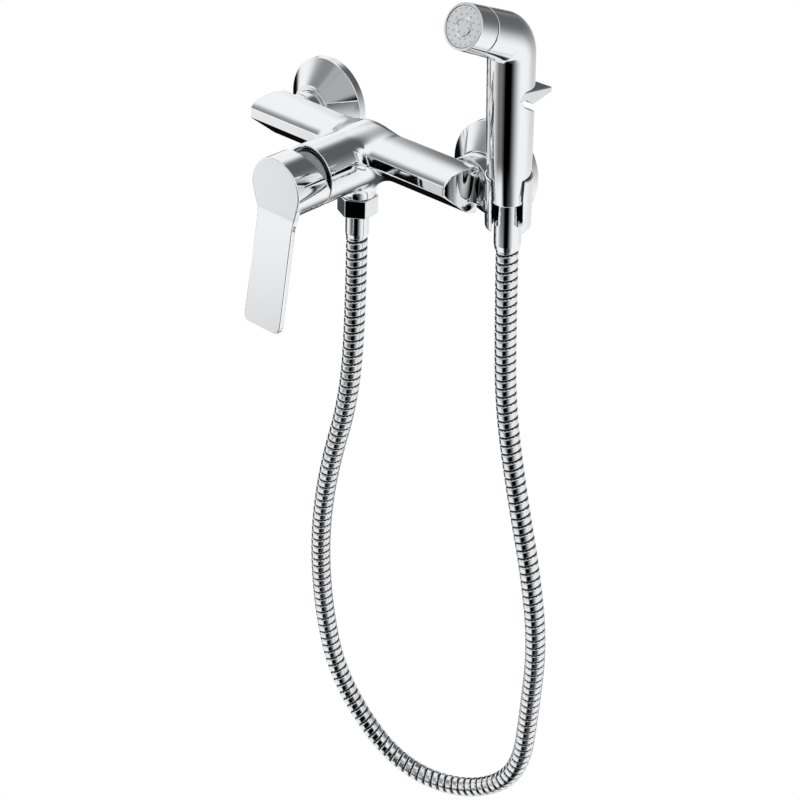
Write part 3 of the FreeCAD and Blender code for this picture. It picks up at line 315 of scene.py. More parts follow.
def rib_tree(material, shade_material):
    """Line in, tube with one rib winding round it out, with painted shade down in its gaps."""
    tree = bpy.data.node_groups.new("ribs_along_line", "GeometryNodeTree")
    for in_out in ("INPUT", "OUTPUT"):
        tree.interface.new_socket("Geometry", in_out=in_out, socket_type="NodeSocketGeometry")
    for name, value in rib_inputs.items():
        kind = "NodeSocketInt" if isinstance(value, int) else "NodeSocketFloat"
        tree.interface.new_socket(name, in_out="INPUT", socket_type=kind).default_value = value

    def geometry(kind, inputs):
        return add_node(tree, "GeometryNode" + kind, inputs)[0]

    def maths(operation, first, second=0.5):
        return math_node(tree, operation, first, second)

    def vector(operation, inputs):
        return add_node(tree, "ShaderNodeVectorMath", inputs, operation=operation)[0]

    start = add_node(tree, "NodeGroupInput", {})
    steps, sides, groove = start["Steps for each rib"], start["Sides"], start["Groove radius"]
    index = geometry("InputIndex", {})
    place = geometry("InputPosition", {})
    curve = geometry("MeshToCurve", {0: start["Geometry"]})
    count = maths("ADD", maths("MULTIPLY", start["Ribs"], steps), 1)
    line = geometry("ResampleCurve", {"Curve": curve, "Count": count})
    line = keep_on_points(tree, line, "along", maths("DIVIDE", index, steps))
    line = keep_on_points(tree, line, "middle", place, "FLOAT_VECTOR")
    circle = geometry("CurvePrimitiveCircle", {"Resolution": sides, "Radius": groove})
    circle = keep_on_points(tree, circle, "turn", maths("DIVIDE", index, sides))
    tube = geometry("CurveToMesh", {"Curve": line, "Profile Curve": circle, "Fill Caps": True})
    wound = maths("SUBTRACT", kept_value(tree, "along"), kept_value(tree, "turn"))
    from_crest = maths("ABSOLUTE", maths("SUBTRACT", maths("FRACT", wound), 0.5))
    swell = add_node(tree, "ShaderNodeMapRange", {
        "Value": from_crest, "From Min": groove_start, "From Max": crest_end,
    }, interpolation_type="SMOOTHSTEP")["Result"]
    tube = keep_on_points(tree, tube, "swell", swell)
    spoke = vector("SUBTRACT", {0: place, 1: kept_value(tree, "middle", "FLOAT_VECTOR")})
    rise = maths("SUBTRACT", start["Crest radius"], groove)
    lift = maths("MULTIPLY", rise, kept_value(tree, "swell"))
    offset = vector("SCALE", {0: vector("NORMALIZE", {0: spoke}), "Scale": lift})
    skin = geometry("SetPosition", {"Geometry": tube, "Offset": offset})
    skin = geometry("SetShadeSmooth", {0: skin})
    skin = geometry("RealizeInstances", {0: skin})
    skin = geometry("SetMaterial", {"Geometry": skin, "Material": material})
    # Faces down in the groove take the near-black material, which is painted shade.
    in_shaded_groove = maths("LESS_THAN", kept_value(tree, "swell"), 0.5)
    skin = geometry("SetMaterial", {"Geometry": skin, "Material": shade_material, "Selection": in_shaded_groove})
    tree.links.new(skin, tree.nodes.new("NodeGroupOutput").inputs[0])
    return tree


hose_tree = rib_tree(hose_chrome, hose_groove_shade)
print("rib tree has", len(hose_tree.nodes), "nodes")


# %% Sweep the ribs
def applied(host, name):
    """The host's mesh with its modifiers applied, in a new object; the host is removed."""
    bpy.context.view_layer.update()
    evaluated = host.evaluated_get(bpy.context.evaluated_depsgraph_get())
    mesh = bpy.data.meshes.new_from_object(evaluated)
    mesh.name = name
    bpy.data.objects.remove(host)
    return add_object(name, mesh)


def set_inputs(modifier, tree, values):
    """Sets a modifier's inputs by their sockets' identifiers."""
    for item in tree.interface.items_tree:
        if item.item_type == "SOCKET" and item.in_out == "INPUT" and item.name in values:
            modifier[item.identifier] = values[item.name]


host_mesh = bpy.data.meshes.new("hose_host")
links = [(i, i + 1) for i in range(len(hose_places) - 1)]
host_mesh.from_pydata([tuple(place) for place in hose_places], links, [])
hose_host = add_object("hose_host", host_mesh)
ribs = hose_host.modifiers.new("ribs", "NODES")
ribs.node_group = hose_tree
set_inputs(ribs, hose_tree, rib_inputs)
hose = applied(hose_host, "ribbed_hose")
print("hose faces", len(hose.data.polygons), "size", [round(side, 3) for side in hose.dimensions])

# %% [markdown]
# ## Turned pieces
#
# Covers, nuts, collars and sleeves come off a lathe, so their shape is a profile turned about an axis.
# Blender's Screw modifier would do it, but the shading at a small rounded corner then bends the flat faces
# beside it. Here the profile's corners are rounded by arcs, and every face corner is given the profile's
# exact normal, so a flat face reflects as a flat face right up to its edge.

# %% A lathe that keeps exact normals
def rounded_profile(corners):
    """Stretches of a closed profile of (radius, along, round): two points each, with outward normals."""
    points = np.array([corner[:2] for corner in corners], float)
    rounds = [corner[2] if len(corner) > 2 else 0.0 for corner in corners]
    following = np.roll(points, -1, axis=0)
    area = np.sum(points[:, 0] * following[:, 1] - following[:, 0] * points[:, 1])
    turn_sign = 1.0 if area > 0 else -1.0
    arcs = []
    for i, corner in enumerate(points):
        before = corner - points[i - 1]
        after = following[i] - corner
        before /= np.linalg.norm(before)
        after /= np.linalg.norm(after)
        normals = [np.array([d[1], -d[0]]) * turn_sign for d in (before, after)]
        bend = math.acos(max(-1.0, min(1.0, float(before @ after))))
        if rounds[i] == 0 or bend < 0.01:
            arcs.append(([corner, corner], normals))
            continue
        reach = rounds[i] * math.tan(bend / 2)
        start = corner - before * reach
        convex = (before[0] * after[1] - before[1] * after[0]) * turn_sign > 0
        side = -1.0 if convex else 1.0
        centre = start + normals[0] * rounds[i] * side
        count = max(3, int(math.degrees(bend) / 9) + 1)
        arc_normals = []
        for step in range(count + 1):
            part = step / count
            mixed = normals[0] * math.sin((1 - part) * bend) + normals[1] * math.sin(part * bend)
            arc_normals.append(mixed / np.linalg.norm(mixed))
        arcs.append(([centre - n * rounds[i] * side for n in arc_normals], arc_normals))
    stretches = []
    for i, (places, normals) in enumerate(arcs):
        for j in range(len(places) - 1):
            if np.linalg.norm(places[j + 1] - places[j]) > 1e-9:
                stretches.append((places[j], places[j + 1], normals[j], normals[j + 1]))
        next_places, next_normals = arcs[(i + 1) % len(arcs)]
        stretches.append((places[-1], next_places[0], normals[-1], next_normals[0]))
    return stretches


def make_mesh(name, places, faces, corner_normals):
    """A mesh in metres from places in millimetres, with its own normal at each corner of each face."""
    mesh = bpy.data.meshes.new(name)
    mesh.from_pydata([tuple(place) for place in np.asarray(places) * MM], [], faces)
    mesh.shade_smooth()
    mesh.normals_split_custom_set([tuple(normal) for normal in corner_normals])
    mesh.update()
    return add_object(name, mesh)


def turned(corners, foot, axis, segments=128):
    """Places, faces and normals of a closed profile of (radius, along, round) turned about an axis."""
    axis = np.array(axis, float)
    axis /= np.linalg.norm(axis)
    first = np.cross(axis, [0.0, 0.0, 1.0])
    if np.linalg.norm(first) < 0.1:
        first = np.cross(axis, [0.0, 1.0, 0.0])
    first /= np.linalg.norm(first)
    second = np.cross(axis, first)
    turns = [2 * math.pi * i / segments for i in range(segments)]
    spokes = [first * math.cos(t) + second * math.sin(t) for t in turns]
    places = []
    rings = {}

    def ring(point):
        key = (round(float(point[0]), 5), round(float(point[1]), 5))
        if key not in rings:
            centre = np.array(foot, float) + axis * point[1]
            if abs(point[0]) < 1e-6:
                rings[key] = [len(places)] * segments
                places.append(centre)
            else:
                rings[key] = list(range(len(places), len(places) + segments))
                places.extend(centre + spoke * point[0] for spoke in spokes)
        return rings[key]

    faces = []
    normals = []
    for start, end, start_normal, end_normal in rounded_profile(corners):
        if max(abs(start[0]), abs(end[0])) < 1e-6:
            continue
        low, high = ring(start), ring(end)
        for i in range(segments):
            j = (i + 1) % segments
            corner_list = [(low[i], i, start_normal), (low[j], j, start_normal),
                           (high[j], j, end_normal), (high[i], i, end_normal)]
            kept = []
            for index, spoke, normal in corner_list:
                if index not in [item[0] for item in kept]:
                    kept.append((index, spoke, normal))
            directions = [spokes[s] * n[0] + axis * n[1] for _, s, n in kept]
            a, b, c = (places[kept[k][0]] for k in range(3))
            if np.dot(np.cross(b - a, c - a), sum(directions)) < 0:
                kept.reverse()
                directions.reverse()
            faces.append([item[0] for item in kept])
            normals.extend(directions)
    return places, faces, normals


def lathe(name, corners, foot, axis, segments=128):
    """Turns a closed profile about an axis through a foot into one piece."""
    return make_mesh(name, *turned(corners, foot, axis, segments))


OUT = (0.0, -1.0, 0.0)
print("lathe ready")

# %% Finishing a piece
def darken(piece, is_inside):
    """Gives the faces of a piece that lie inside it a near-black material: painted shade in its hollow."""
    mesh = piece.data
    mesh.materials.append(chrome)
    mesh.materials.append(hollow_shade)
    centres = np.empty(len(mesh.polygons) * 3)
    mesh.polygons.foreach_get("center", centres)
    in_shade = is_inside(centres.reshape(-1, 3) / MM)
    mesh.polygons.foreach_set("material_index", in_shade.astype(np.int32))
    print(piece.name, "has", int(in_shade.sum()), "dull faces")


def finish(piece, body, slot_name, replaced=(), material=None):
    """Gives a piece its finish, taken by its slot's name unless a material is given, sets it under its body,
    and hides the nodes it stands for.
    """
    if not piece.data.materials:
        piece.data.materials.append(material or slot_finish[slot_name])
    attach(piece, body)
    if replaced:
        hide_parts(*replaced)


print("finishing ready")

# %% [markdown]
# ## Wall covers and union nuts
#
# A pressed cover hides each hole in the wall: a flat rim, a straight cone and a small bead at its mouth.
# Inside it sits the nut that draws the bar onto the union. Both are turned pieces with tiny rounded edges,
# and those edges catch the thin bright lines that the eye reads as metal.

# %% Covers and nuts
inlet_x = 75.0
for side_name, side_x in (("left", -inlet_x), ("right", inlet_x)):
    cover = lathe("wall_cover_" + side_name, [
        (32.59, 0, 0), (32.59, 5.4, 0.9), (16.8, 19.2, 0.25), (15.2, 19.2, 0.15), (15.2, 20.0, 0.3),
        (13.7, 20.0, 0.2), (13.7, 18.0, 0), (15.3, 16.5, 0), (31.1, 4.65, 0), (31.1, 1.5, 0), (30.0, 0, 0),
    ], (side_x, 0, 0), OUT, 160)
    finish(cover, "mixer", "chrome", ["escutcheon_" + side_name])
    nut = lathe("bar_nut_" + side_name, [
        (13.4, 18.5, 0.3), (13.4, 28.6, 0.2), (12.9, 29.0, 0.2), (12.9, 29.5, 0.2), (13.4, 29.9, 0.2),
        (13.4, 32.7, 0.5), (8.0, 32.7, 0.2), (8.0, 29.4, 0), (10.58, 29.3, 0), (10.58, 18.5, 0),
    ], (side_x, 0, 0), OUT)
    finish(nut, "mixer", "chrome", ["union_nut_" + side_name])
    print(side_name, "cover and nut", len(cover.data.polygons) + len(nut.data.polygons), "faces")

# %% [markdown]
# ## Cast pieces from one rule
#
# The bar, the lever, the grip and the holder are castings: they run into each other in soft hollows, which
# are hard to make by joining meshes. A rule does it better. For each casting a field gives, at any place,
# about how far outside the metal that place is. Smooth minimum joins two forms with a hollow between them,
# and smooth maximum trims one form by another and rounds the edge. A grid of cells then finds where the
# field is zero. Each cell's corner point is set from the field's slopes, so edges stay sharp, and each face
# corner takes the field's own normal, so the chrome shows no facets.

# %% Smooth joins and trims
def smooth_max(first, second, reach):
    nearness = np.maximum(reach - np.abs(first - second), 0) / reach
    return np.maximum(first, second) + nearness * nearness * reach / 4


def smooth_min(first, second, reach):
    return -smooth_max(-first, -second, reach)


def trim(reach, *fields):
    """The form that lies inside every field, with its edges rounded."""
    whole = fields[0]
    for field in fields[1:]:
        whole = smooth_max(whole, field, reach)
    return whole


def coordinates(places):
    """X, the distance out of the wall, and Z, of places in the row frame."""
    return places[:, 0], -places[:, 1], places[:, 2]


def slopes(field, places, reach=0.02):
    """The field's direction of steepest growth at each place."""
    corners = np.array([(1, -1, -1), (-1, -1, 1), (-1, 1, -1), (1, 1, 1)], float)
    total = np.zeros_like(places)
    for corner in corners:
        total += field(places + corner * reach)[:, None] * corner
    return total / (4 * reach)


print("fields ready")

# %% From a field to a mesh
def crossings(field, grid, value, direction):
    """Where grid lines along one direction pass through the surface."""
    inside = value < 0
    near = [slice(None)] * 3
    far = [slice(None)] * 3
    near[direction] = slice(0, -1)
    far[direction] = slice(1, None)
    cut = inside[tuple(near)] != inside[tuple(far)]
    index = np.argwhere(cut)
    step = np.zeros(3, int)
    step[direction] = 1
    low = grid(index)
    high = grid(index + step)
    low_value = value[tuple(index.T)]
    high_value = value[tuple((index + step).T)]
    for _ in range(3):
        part = (low_value / (low_value - high_value))[:, None]
        middle = low + (high - low) * np.clip(part, 0.02, 0.98)
        middle_value = field(middle)
        same = (middle_value < 0) == (low_value < 0)
        low = np.where(same[:, None], middle, low)
        low_value = np.where(same, middle_value, low_value)
        high = np.where(same[:, None], high, middle)
        high_value = np.where(same, high_value, middle_value)
    part = (low_value / (low_value - high_value))[:, None]
    return index, low + (high - low) * part, inside[tuple(index.T)]


def cast(name, field, low, high, step):
    """The closed mesh of the surface where a field is zero, in a box, from cells of one size."""
    low = np.array(low, float)
    counts = np.ceil((np.array(high, float) - low) / step).astype(int) + 1
    lines = [low[i] + step * np.arange(counts[i]) for i in range(3)]

    def grid(index):
        return low + index * step

    value = np.empty(counts)
    for i, x in enumerate(lines[0]):
        sheet = np.stack(np.meshgrid([x], lines[1], lines[2], indexing="ij"), -1).reshape(-1, 3)
        value[i] = field(sheet).reshape(counts[1], counts[2])
    cell_counts = counts - 1
    owners = []
    points = []
    quads = []
    for direction in range(3):
        index, place, starts_inside = crossings(field, grid, value, direction)
        second, third = np.eye(3, dtype=int)[(direction + 1) % 3], np.eye(3, dtype=int)[(direction + 2) % 3]
        around = [index, index - second, index - second - third, index - third]
        cells = np.stack([np.ravel_multi_index(tuple(cell.T), cell_counts) for cell in around], 1)
        for k in range(4):
            owners.append(cells[:, k])
            points.append(place)
        quads.append(np.where(starts_inside[:, None], cells, cells[:, ::-1]))
    owners = np.concatenate(owners)
    points = np.concatenate(points)
    normals = slopes(field, points)
    normals /= np.linalg.norm(normals, axis=1)[:, None]
    used, member = np.unique(owners, return_inverse=True)

    def total(weights):
        return np.bincount(member, weights, minlength=len(used))

    share = total(np.ones(len(member)))
    mass = np.stack([total(points[:, i]) for i in range(3)], 1) / share[:, None]
    offset = np.sum(normals * (points - mass[member]), axis=1)
    matrix = np.empty((len(used), 3, 3))
    for i in range(3):
        for j in range(3):
            matrix[:, i, j] = total(normals[:, i] * normals[:, j])
    right = np.stack([total(normals[:, i] * offset) for i in range(3)], 1)
    strength, ways = np.linalg.eigh(matrix)
    kept = strength > 0.08 * strength[:, -1:]
    inverse = np.where(kept, 1 / np.where(kept, strength, 1), 0)
    shift = np.einsum("nij,nj->ni", ways, inverse * np.einsum("nji,nj->ni", ways, right))
    cell_low = grid(np.stack(np.unravel_index(used, cell_counts), 1))
    places = np.clip(mass + shift, cell_low + 0.02 * step, cell_low + 0.98 * step)
    faces = np.searchsorted(used, np.concatenate(quads))
    corners = places[faces]
    centres = corners.mean(axis=1, keepdims=True)
    probes = (corners + 0.3 * (centres - corners)).reshape(-1, 3)
    corner_normals = slopes(field, probes)
    corner_normals /= np.linalg.norm(corner_normals, axis=1)[:, None]
    piece = make_mesh(name, places, faces.tolist(), corner_normals)
    print(name, len(faces), "faces")
    return piece


# %% [markdown]
# ## The bar
#
# The bar is a wedge in section: a flat back, a broad crowned top, a short upright lip, and an underside
# that slopes back to the wall. The cylinder for the cartridge grows out of its middle and the outlet boss
# out of its belly, with a soft hollow at each join. The section is kept as a radius for each direction
# about its middle, so one smooth table serves the whole length.

# %% The bar's section
section_middle = (49.85, -1.0)


def circle_through(first, second, third):
    """Centre and radius of the circle through three points."""
    ax, ay = first
    bx, by = second
    cx, cy = third
    d = 2 * (ax * (by - cy) + bx * (cy - ay) + cx * (ay - by))
    sa, sb, sc = ax * ax + ay * ay, bx * bx + by * by, cx * cx + cy * cy
    x = (sa * (by - cy) + sb * (cy - ay) + sc * (ay - by)) / d
    y = (sa * (cx - bx) + sb * (ax - cx) + sc * (bx - ax)) / d
    return np.array([x, y]), math.hypot(ax - x, ay - y)


def arc_points(first, second, third, count=60):
    """Points along the arc through three points."""
    centre, radius = circle_through(first, second, third)
    angles = [math.atan2(p[1] - centre[1], p[0] - centre[0]) for p in (first, second, third)]
    sweep = (angles[2] - angles[0]) % (2 * math.pi)
    if (angles[1] - angles[0]) % (2 * math.pi) > sweep:
        sweep -= 2 * math.pi
    turns = angles[0] + sweep * np.linspace(0, 1, count)
    return centre + radius * np.stack([np.cos(turns), np.sin(turns)], 1)


bar_outline = np.concatenate([
    arc_points((33.0, 13.0), (34.9, 14.8), (38.0, 15.7)),
    arc_points((38.0, 15.7), (48.9, 16.5), (59.8, 15.4)),
    arc_points((59.8, 15.4), (63.9, 13.8), (66.7, 11.3)),
    [(66.7, 11.3), (66.7, 4.5)],
    [(46.8, -11.3)],
    arc_points((46.8, -11.3), (40.4, -15.1), (33.0, -16.5)),
    [(33.0, -16.5), (33.0, 13.0)],
])
table_size = 7200
table_angles = np.arange(table_size) * 2 * math.pi / table_size - math.pi


def ray_table(outline, middle):
    """How far the outline lies from a middle point, for each direction."""
    start = outline - np.array(middle)
    end = np.roll(start, -1, axis=0)
    best = np.zeros(table_size)
    ray = np.stack([np.cos(table_angles), np.sin(table_angles)], 1)
    for a, b in zip(start, end):
        edge = b - a
        cross = ray[:, 0] * edge[1] - ray[:, 1] * edge[0]
        safe = np.where(np.abs(cross) < 1e-12, 1e-12, cross)
        along = (a[0] * edge[1] - a[1] * edge[0]) / safe
        part = (a[0] * ray[:, 1] - a[1] * ray[:, 0]) / safe
        hit = (part >= -1e-9) & (part <= 1 + 1e-9) & (along > 0)
        best = np.maximum(best, np.where(hit, along, 0))
    return best


def softened(table, degrees):
    """Rounds the corners of a table of radii."""
    reach = int(degrees / 360 * table_size * 3)
    offsets = np.arange(-reach, reach + 1)
    weights = np.exp(-0.5 * (offsets / (reach / 3)) ** 2)
    weights /= weights.sum()
    padded_table = np.concatenate([table[-reach:], table, table[:reach]])
    return np.convolve(padded_table, weights, mode="valid")


bar_radii = softened(ray_table(bar_outline, section_middle), 1.1)
bar_ring = np.concatenate([bar_radii[-1:], bar_radii, bar_radii[:1]])
bar_slope = np.gradient(bar_ring, table_angles[1] - table_angles[0])[1:-1]
bar_scale = 1 / np.sqrt(1 + (bar_slope / bar_radii) ** 2)


def bar_section(out, z):
    """About how far outside the bar's section a point is."""
    across = out - section_middle[0]
    height = z - section_middle[1]
    turn = np.arctan2(height, across)
    radius = np.interp(turn, table_angles, bar_radii, period=2 * math.pi)
    scale = np.interp(turn, table_angles, bar_scale, period=2 * math.pi)
    return (np.hypot(across, height) - radius) * scale


print("bar section radii", round(bar_radii.min(), 2), round(bar_radii.max(), 2))


# %% The mixer body's field
bar_half_length = 85.9
bar_half_depth = 18.85
cylinder_radius = 20.4
rim_start = 94.0
chamber_radius = 18.6
chamber_floor = 88.2
outlet_out = 51.5


def mixer_field(places):
    x, out, z = coordinates(places)
    crowned_end = bar_half_length - 0.3 * ((out - section_middle[0]) / bar_half_depth) ** 2
    bar = trim(0.6, bar_section(out, z), np.abs(x) - crowned_end)
    from_axis = np.hypot(x, z)
    cylinder = smooth_max(from_axis - cylinder_radius, 34.5 - out, 8.0)
    body = smooth_min(bar, cylinder, 7.0)
    from_outlet = np.hypot(x, out - outlet_out)
    boss = trim(1.0, from_outlet - 12.0, -27.1 - z, z)
    body = smooth_min(body, boss, 6.0)
    body = np.minimum(body, np.maximum(from_outlet - 10.48, np.maximum(-31.5 - z, z)))
    body = smooth_max(body, out - rim_start, 0.1)
    chamber = np.maximum(from_axis - chamber_radius, chamber_floor - out)
    body = smooth_max(body, -chamber, 0.5)
    from_inlet = np.hypot(np.abs(x) - inlet_x, z)
    return np.minimum(body, np.maximum(from_inlet - 7.9, np.maximum(30.5 - out, out - 34.0)))


def in_chamber(places):
    """Whether places lie in the hollow that holds the cartridge."""
    x, out, z = coordinates(places)
    return (np.hypot(x, z) < chamber_radius + 0.3) & (out > chamber_floor - 1.2)


mixer = cast("mixer_casting", mixer_field, (-88.4, -98.0, -32.5), (88.4, -30.0, 21.5), 0.72)
darken(mixer, in_chamber)
finish(mixer, "mixer", "chrome", ["mixer_body"])

# %% The cylinder's turned rim
body_rim = lathe("body_rim", [
    (cylinder_radius, rim_start, 0), (cylinder_radius, 97.2, 0.7), (chamber_radius, 97.2, 0.35),
    (chamber_radius, rim_start, 0),
], (0, 0, 0), OUT, 160)
finish(body_rim, "mixer", "chrome")
print("rim", len(body_rim.data.polygons), "faces")

# %% [markdown]
# ## The lever
#
# The lever is one casting: a round cap over the cartridge, and a flat blade that leaves the cap's face,
# bends outwards and hangs in front of the bar. Its face is one skin from the cap to the tip, so the two
# outlines are joined first and the face is trimmed afterwards. Joining two finished bodies would leave a
# swelling where their faces lie in one plane.

# %% The lever's field
blade_lean = math.radians(10.4)
blade_bend = -16.0
blade_length = 78.3
blade_corner = 5.0
cap_face = 126.6
cap_hollow_radius = 18.3
cap_hollow_end = 123.5


def soft_ramp(value, reach):
    """Zero below, the value above, and a smooth turn between."""
    return 0.5 * (value + np.sqrt(value * value + reach * reach))


def blade_width(down):
    """Half the blade's width at a distance below the bend; above the bend it is the web under the cap."""
    waist = 15.5 + 1.1 * np.clip(1 - down / 9.0, 0, 1) ** 2 + 0.7 * np.clip((down - 9.0) / 69.3, 0, 1)
    web = 16.6 + 2.8 * np.clip(-down / 9.4, 0, 1.1) ** 0.9
    return np.where(down > 0, waist, web)


def lever_field(places):
    x, out, z = coordinates(places)
    from_axis = np.hypot(x, z)
    below = soft_ramp(blade_bend - z, 1.0)
    face = cap_face + below * math.tan(blade_lean) - 0.5 * math.tan(blade_lean)
    down = np.where(z < blade_bend, (blade_bend - z) / math.cos(blade_lean), blade_bend - z)
    corner_x = np.abs(x) - blade_width(down) + blade_corner
    corner_z = down - blade_length + blade_corner
    outline = np.hypot(np.maximum(corner_x, 0), np.maximum(corner_z, 0))
    outline += np.minimum(np.maximum(corner_x, corner_z), 0) - blade_corner
    back = face - 4.0 / math.cos(blade_lean) - out
    blade = trim(0.8, outline, back * math.cos(blade_lean), z + 9.0)
    relief = (99.6 + z * math.tan(math.radians(25)) - out) * math.cos(math.radians(25))
    cap = smooth_max(from_axis - 20.5, smooth_max(98.2 - out, relief, 0.4), 0.5)
    hollow_reach = 0.8 + 7.5 * np.clip(1 - (np.abs(x) / 13.5) ** 4, 0, 1)
    whole = smooth_min(cap, blade, hollow_reach)
    hollow = smooth_max(from_axis - cap_hollow_radius, out - cap_hollow_end, 0.6)
    whole = smooth_max(whole, -hollow, 0.5)
    boss = np.maximum(from_axis - 9.0, np.maximum(110.5 - out, out - 125.0))
    whole = np.minimum(whole, boss)
    plug_hole = np.maximum(np.hypot(x, out - 114.0) - 2.95, np.maximum(z + 17.0, -30.0 - z))
    whole = smooth_max(whole, -plug_hole, 0.3)
    return smooth_max(whole, (out - face) * math.cos(blade_lean), 0.8)


def in_cap(places):
    """Whether places lie in the cap's hollow."""
    x, out, z = coordinates(places)
    return (np.hypot(x, z) < cap_hollow_radius + 0.3) & (out < cap_hollow_end + 0.4)


lever = cast("lever", lever_field, (-21.2, -142.6, -94.8), (21.2, -89.0, 21.2), 0.62)
darken(lever, in_cap)
finish(lever, "lever", "chrome", ["lever_handle"])

# %% [markdown]
# ## The handset
#
# The grip, the elbow and the head are one tube of changing radius along a bent axis, so the field is the
# distance to that axis less the radius. The trigger's notch is cut across the grip and leaves a narrow post
# in front, which the trigger's ears straddle. The head ends at a seam, and the collar beyond it is a turned
# ring.

# %% The handset's field
elbow_rise = 104.9
elbow_bend = 16.0
elbow_turn = math.radians(64.1)
elbow_tangent = elbow_bend * math.tan(elbow_turn / 2)
head_back = -math.sin(elbow_turn)
head_up = math.cos(elbow_turn)
head_start_radius = 14.5
head_end_radius = 13.4
head_length = 49.0
seam_start = 33.0
grip_radius = 14.5
grip_end_radius = 12.43
grip_end = -1.0
taper_top = 26.0
grip_taper = (grip_radius - grip_end_radius) / (taper_top - grip_end)


def along_head(distance):
    """The place in the row frame, in millimetres, of a point on the head's axis."""
    return on_handset(0, head_back * distance, elbow_rise + head_up * distance)


def head_radius(distance):
    part = (distance - elbow_tangent) / (head_length - elbow_tangent)
    return head_start_radius + (head_end_radius - head_start_radius) * part


def tube_distance(side, back, rise):
    """Distance from the bent axis, and distance along the head."""
    bend_rise = elbow_rise - elbow_tangent
    from_centre = np.hypot(back + elbow_bend, rise - bend_rise)
    turn = np.arctan2(rise - bend_rise, back + elbow_bend)
    along = back * head_back + (rise - elbow_rise) * head_up
    across = back * head_up - (rise - elbow_rise) * head_back
    straight = np.hypot(side, back)
    bent = np.hypot(side, from_centre - elbow_bend)
    head = np.hypot(side, across)
    before = rise <= bend_rise
    beyond = (~before) & (turn >= elbow_turn)
    distance = np.where(before, straight, np.where(beyond, head, bent))
    return distance, along, beyond


def grip_field(places):
    side, back, rise = in_handset(places)
    distance, along, beyond = tube_distance(side, back, rise)
    taper = soft_ramp(taper_top - rise, 12.0) * grip_taper
    radius = np.where(beyond, head_radius(along), grip_radius - taper)
    tube = distance - radius
    tube = smooth_max(tube, grip_end - rise, 1.2)
    in_front = np.where(beyond | (rise > elbow_rise - elbow_tangent), along - seam_start, -9.0)
    tube = smooth_max(tube, in_front, 0.45)
    notch_floor = 67.4 - 0.58 * (back + 6.1)
    notch = trim(5.0, -6.1 - back, notch_floor - rise, rise - 76.0)
    post = smooth_max(np.abs(side) - 4.4, back + 0.8, 1.0)
    opening = smooth_max(notch, -post, 0.4)
    return smooth_max(tube, -opening, 0.5)


def in_notch(places):
    """Whether places lie on the cut faces of the trigger's notch."""
    side, back, rise = in_handset(places)
    return (rise > 55.0) & (rise < 78.0) & (back > -6.9) & (np.hypot(side, back) < 13.6)


grip = cast("handset_grip", grip_field, (92.0, -88.0, -3.0), (123.0, -8.0, 135.0), 0.66)
darken(grip, in_notch)
finish(grip, "handset", "chrome", ["handset_body"])

# %% [markdown]
# ## The holder
#
# A ring behind the right end of the bar carries a short neck and a cup. The cup follows the grip's taper
# inside and is open down its front, so the hose can pass when the handset is put back.

# %% The holder's field
cup_bottom = -19.7
cup_top = 16.5
cup_shelf = -15.0
slot_azimuth = math.radians(35.5)


def cup_bore(rise, shelf):
    """The radius of the cup's inside: it follows the grip's taper, and is narrower below a shelf."""
    return np.where(rise > shelf, grip_end_radius + 0.3 + grip_taper * (rise - grip_end), 9.3)


def holder_field(places):
    x, out, z = coordinates(places)
    side, back, rise = in_handset(places)
    from_inlet = np.hypot(x - inlet_x, z)
    ring = trim(0.8, from_inlet - 16.0, 21.0 - out, out - 30.5)
    part = np.clip((x - 84.0) / 14.5, 0, 1)
    neck_back = 21.0 - 2.0 * part
    neck_front = 30.5 + 4.5 * part
    neck = trim(1.0, neck_back - out, out - neck_front, -12.4 - z, z - 6.4, inlet_x - x, x - 101.0)
    solid = smooth_min(ring, neck, 2.5)
    from_axis = np.hypot(side, back)
    outside = 14.5 + 0.65 * np.clip((rise - cup_bottom) / (cup_top - cup_bottom), 0, 1)
    cup = trim(1.4, from_axis - outside, cup_bottom - rise, rise - cup_top)
    solid = smooth_min(solid, cup, 4.0)
    solid = smooth_max(solid, cup_bore(rise, cup_shelf) - from_axis, 0.3)
    forward = -back * math.cos(slot_azimuth) + side * math.sin(slot_azimuth)
    off_slot = np.abs(side * math.cos(slot_azimuth) + back * math.sin(slot_azimuth))
    half = 9.6 + 0.6 * np.clip((rise - 5.0) / 11.5, 0, 1.2)
    slot_gap = trim(0.6, off_slot - half, -forward)
    solid = smooth_max(solid, -slot_gap, 0.35)
    return smooth_max(solid, 13.5 - from_inlet, 0.4)


def in_cup(places):
    """Whether places lie on the cup's inside."""
    side, back, rise = in_handset(places)
    bore = cup_bore(rise, cup_shelf - 0.3)
    return (np.hypot(side, back) < bore + 0.3) & (rise > cup_bottom + 0.5) & (rise < -2.0)


holder = cast("handset_cup", holder_field, (58.0, -47.5, -22.5), (124.5, -12.5, 19.5), 0.55)
darken(holder, in_cup)
finish(holder, "mixer", "chrome", ["handset_holder"])

# %% [markdown]
# ## The trigger
#
# The trigger is a thumb paddle behind the grip. Its profile is drawn as a polygon in the handset's own
# terms, and the field is the distance to that polygon, trimmed at both sides with a small round.

# %% The trigger's field
paddle_profile = [
    (-3.2, 67.4), (1.0, 64.8), (6.4, 64.8), (13.9, 59.8), (31.5, 61.75), (31.5, 65.05), (8.2, 69.8),
    (-3.2, 72.6),
]
paddle_half_width = 7.0


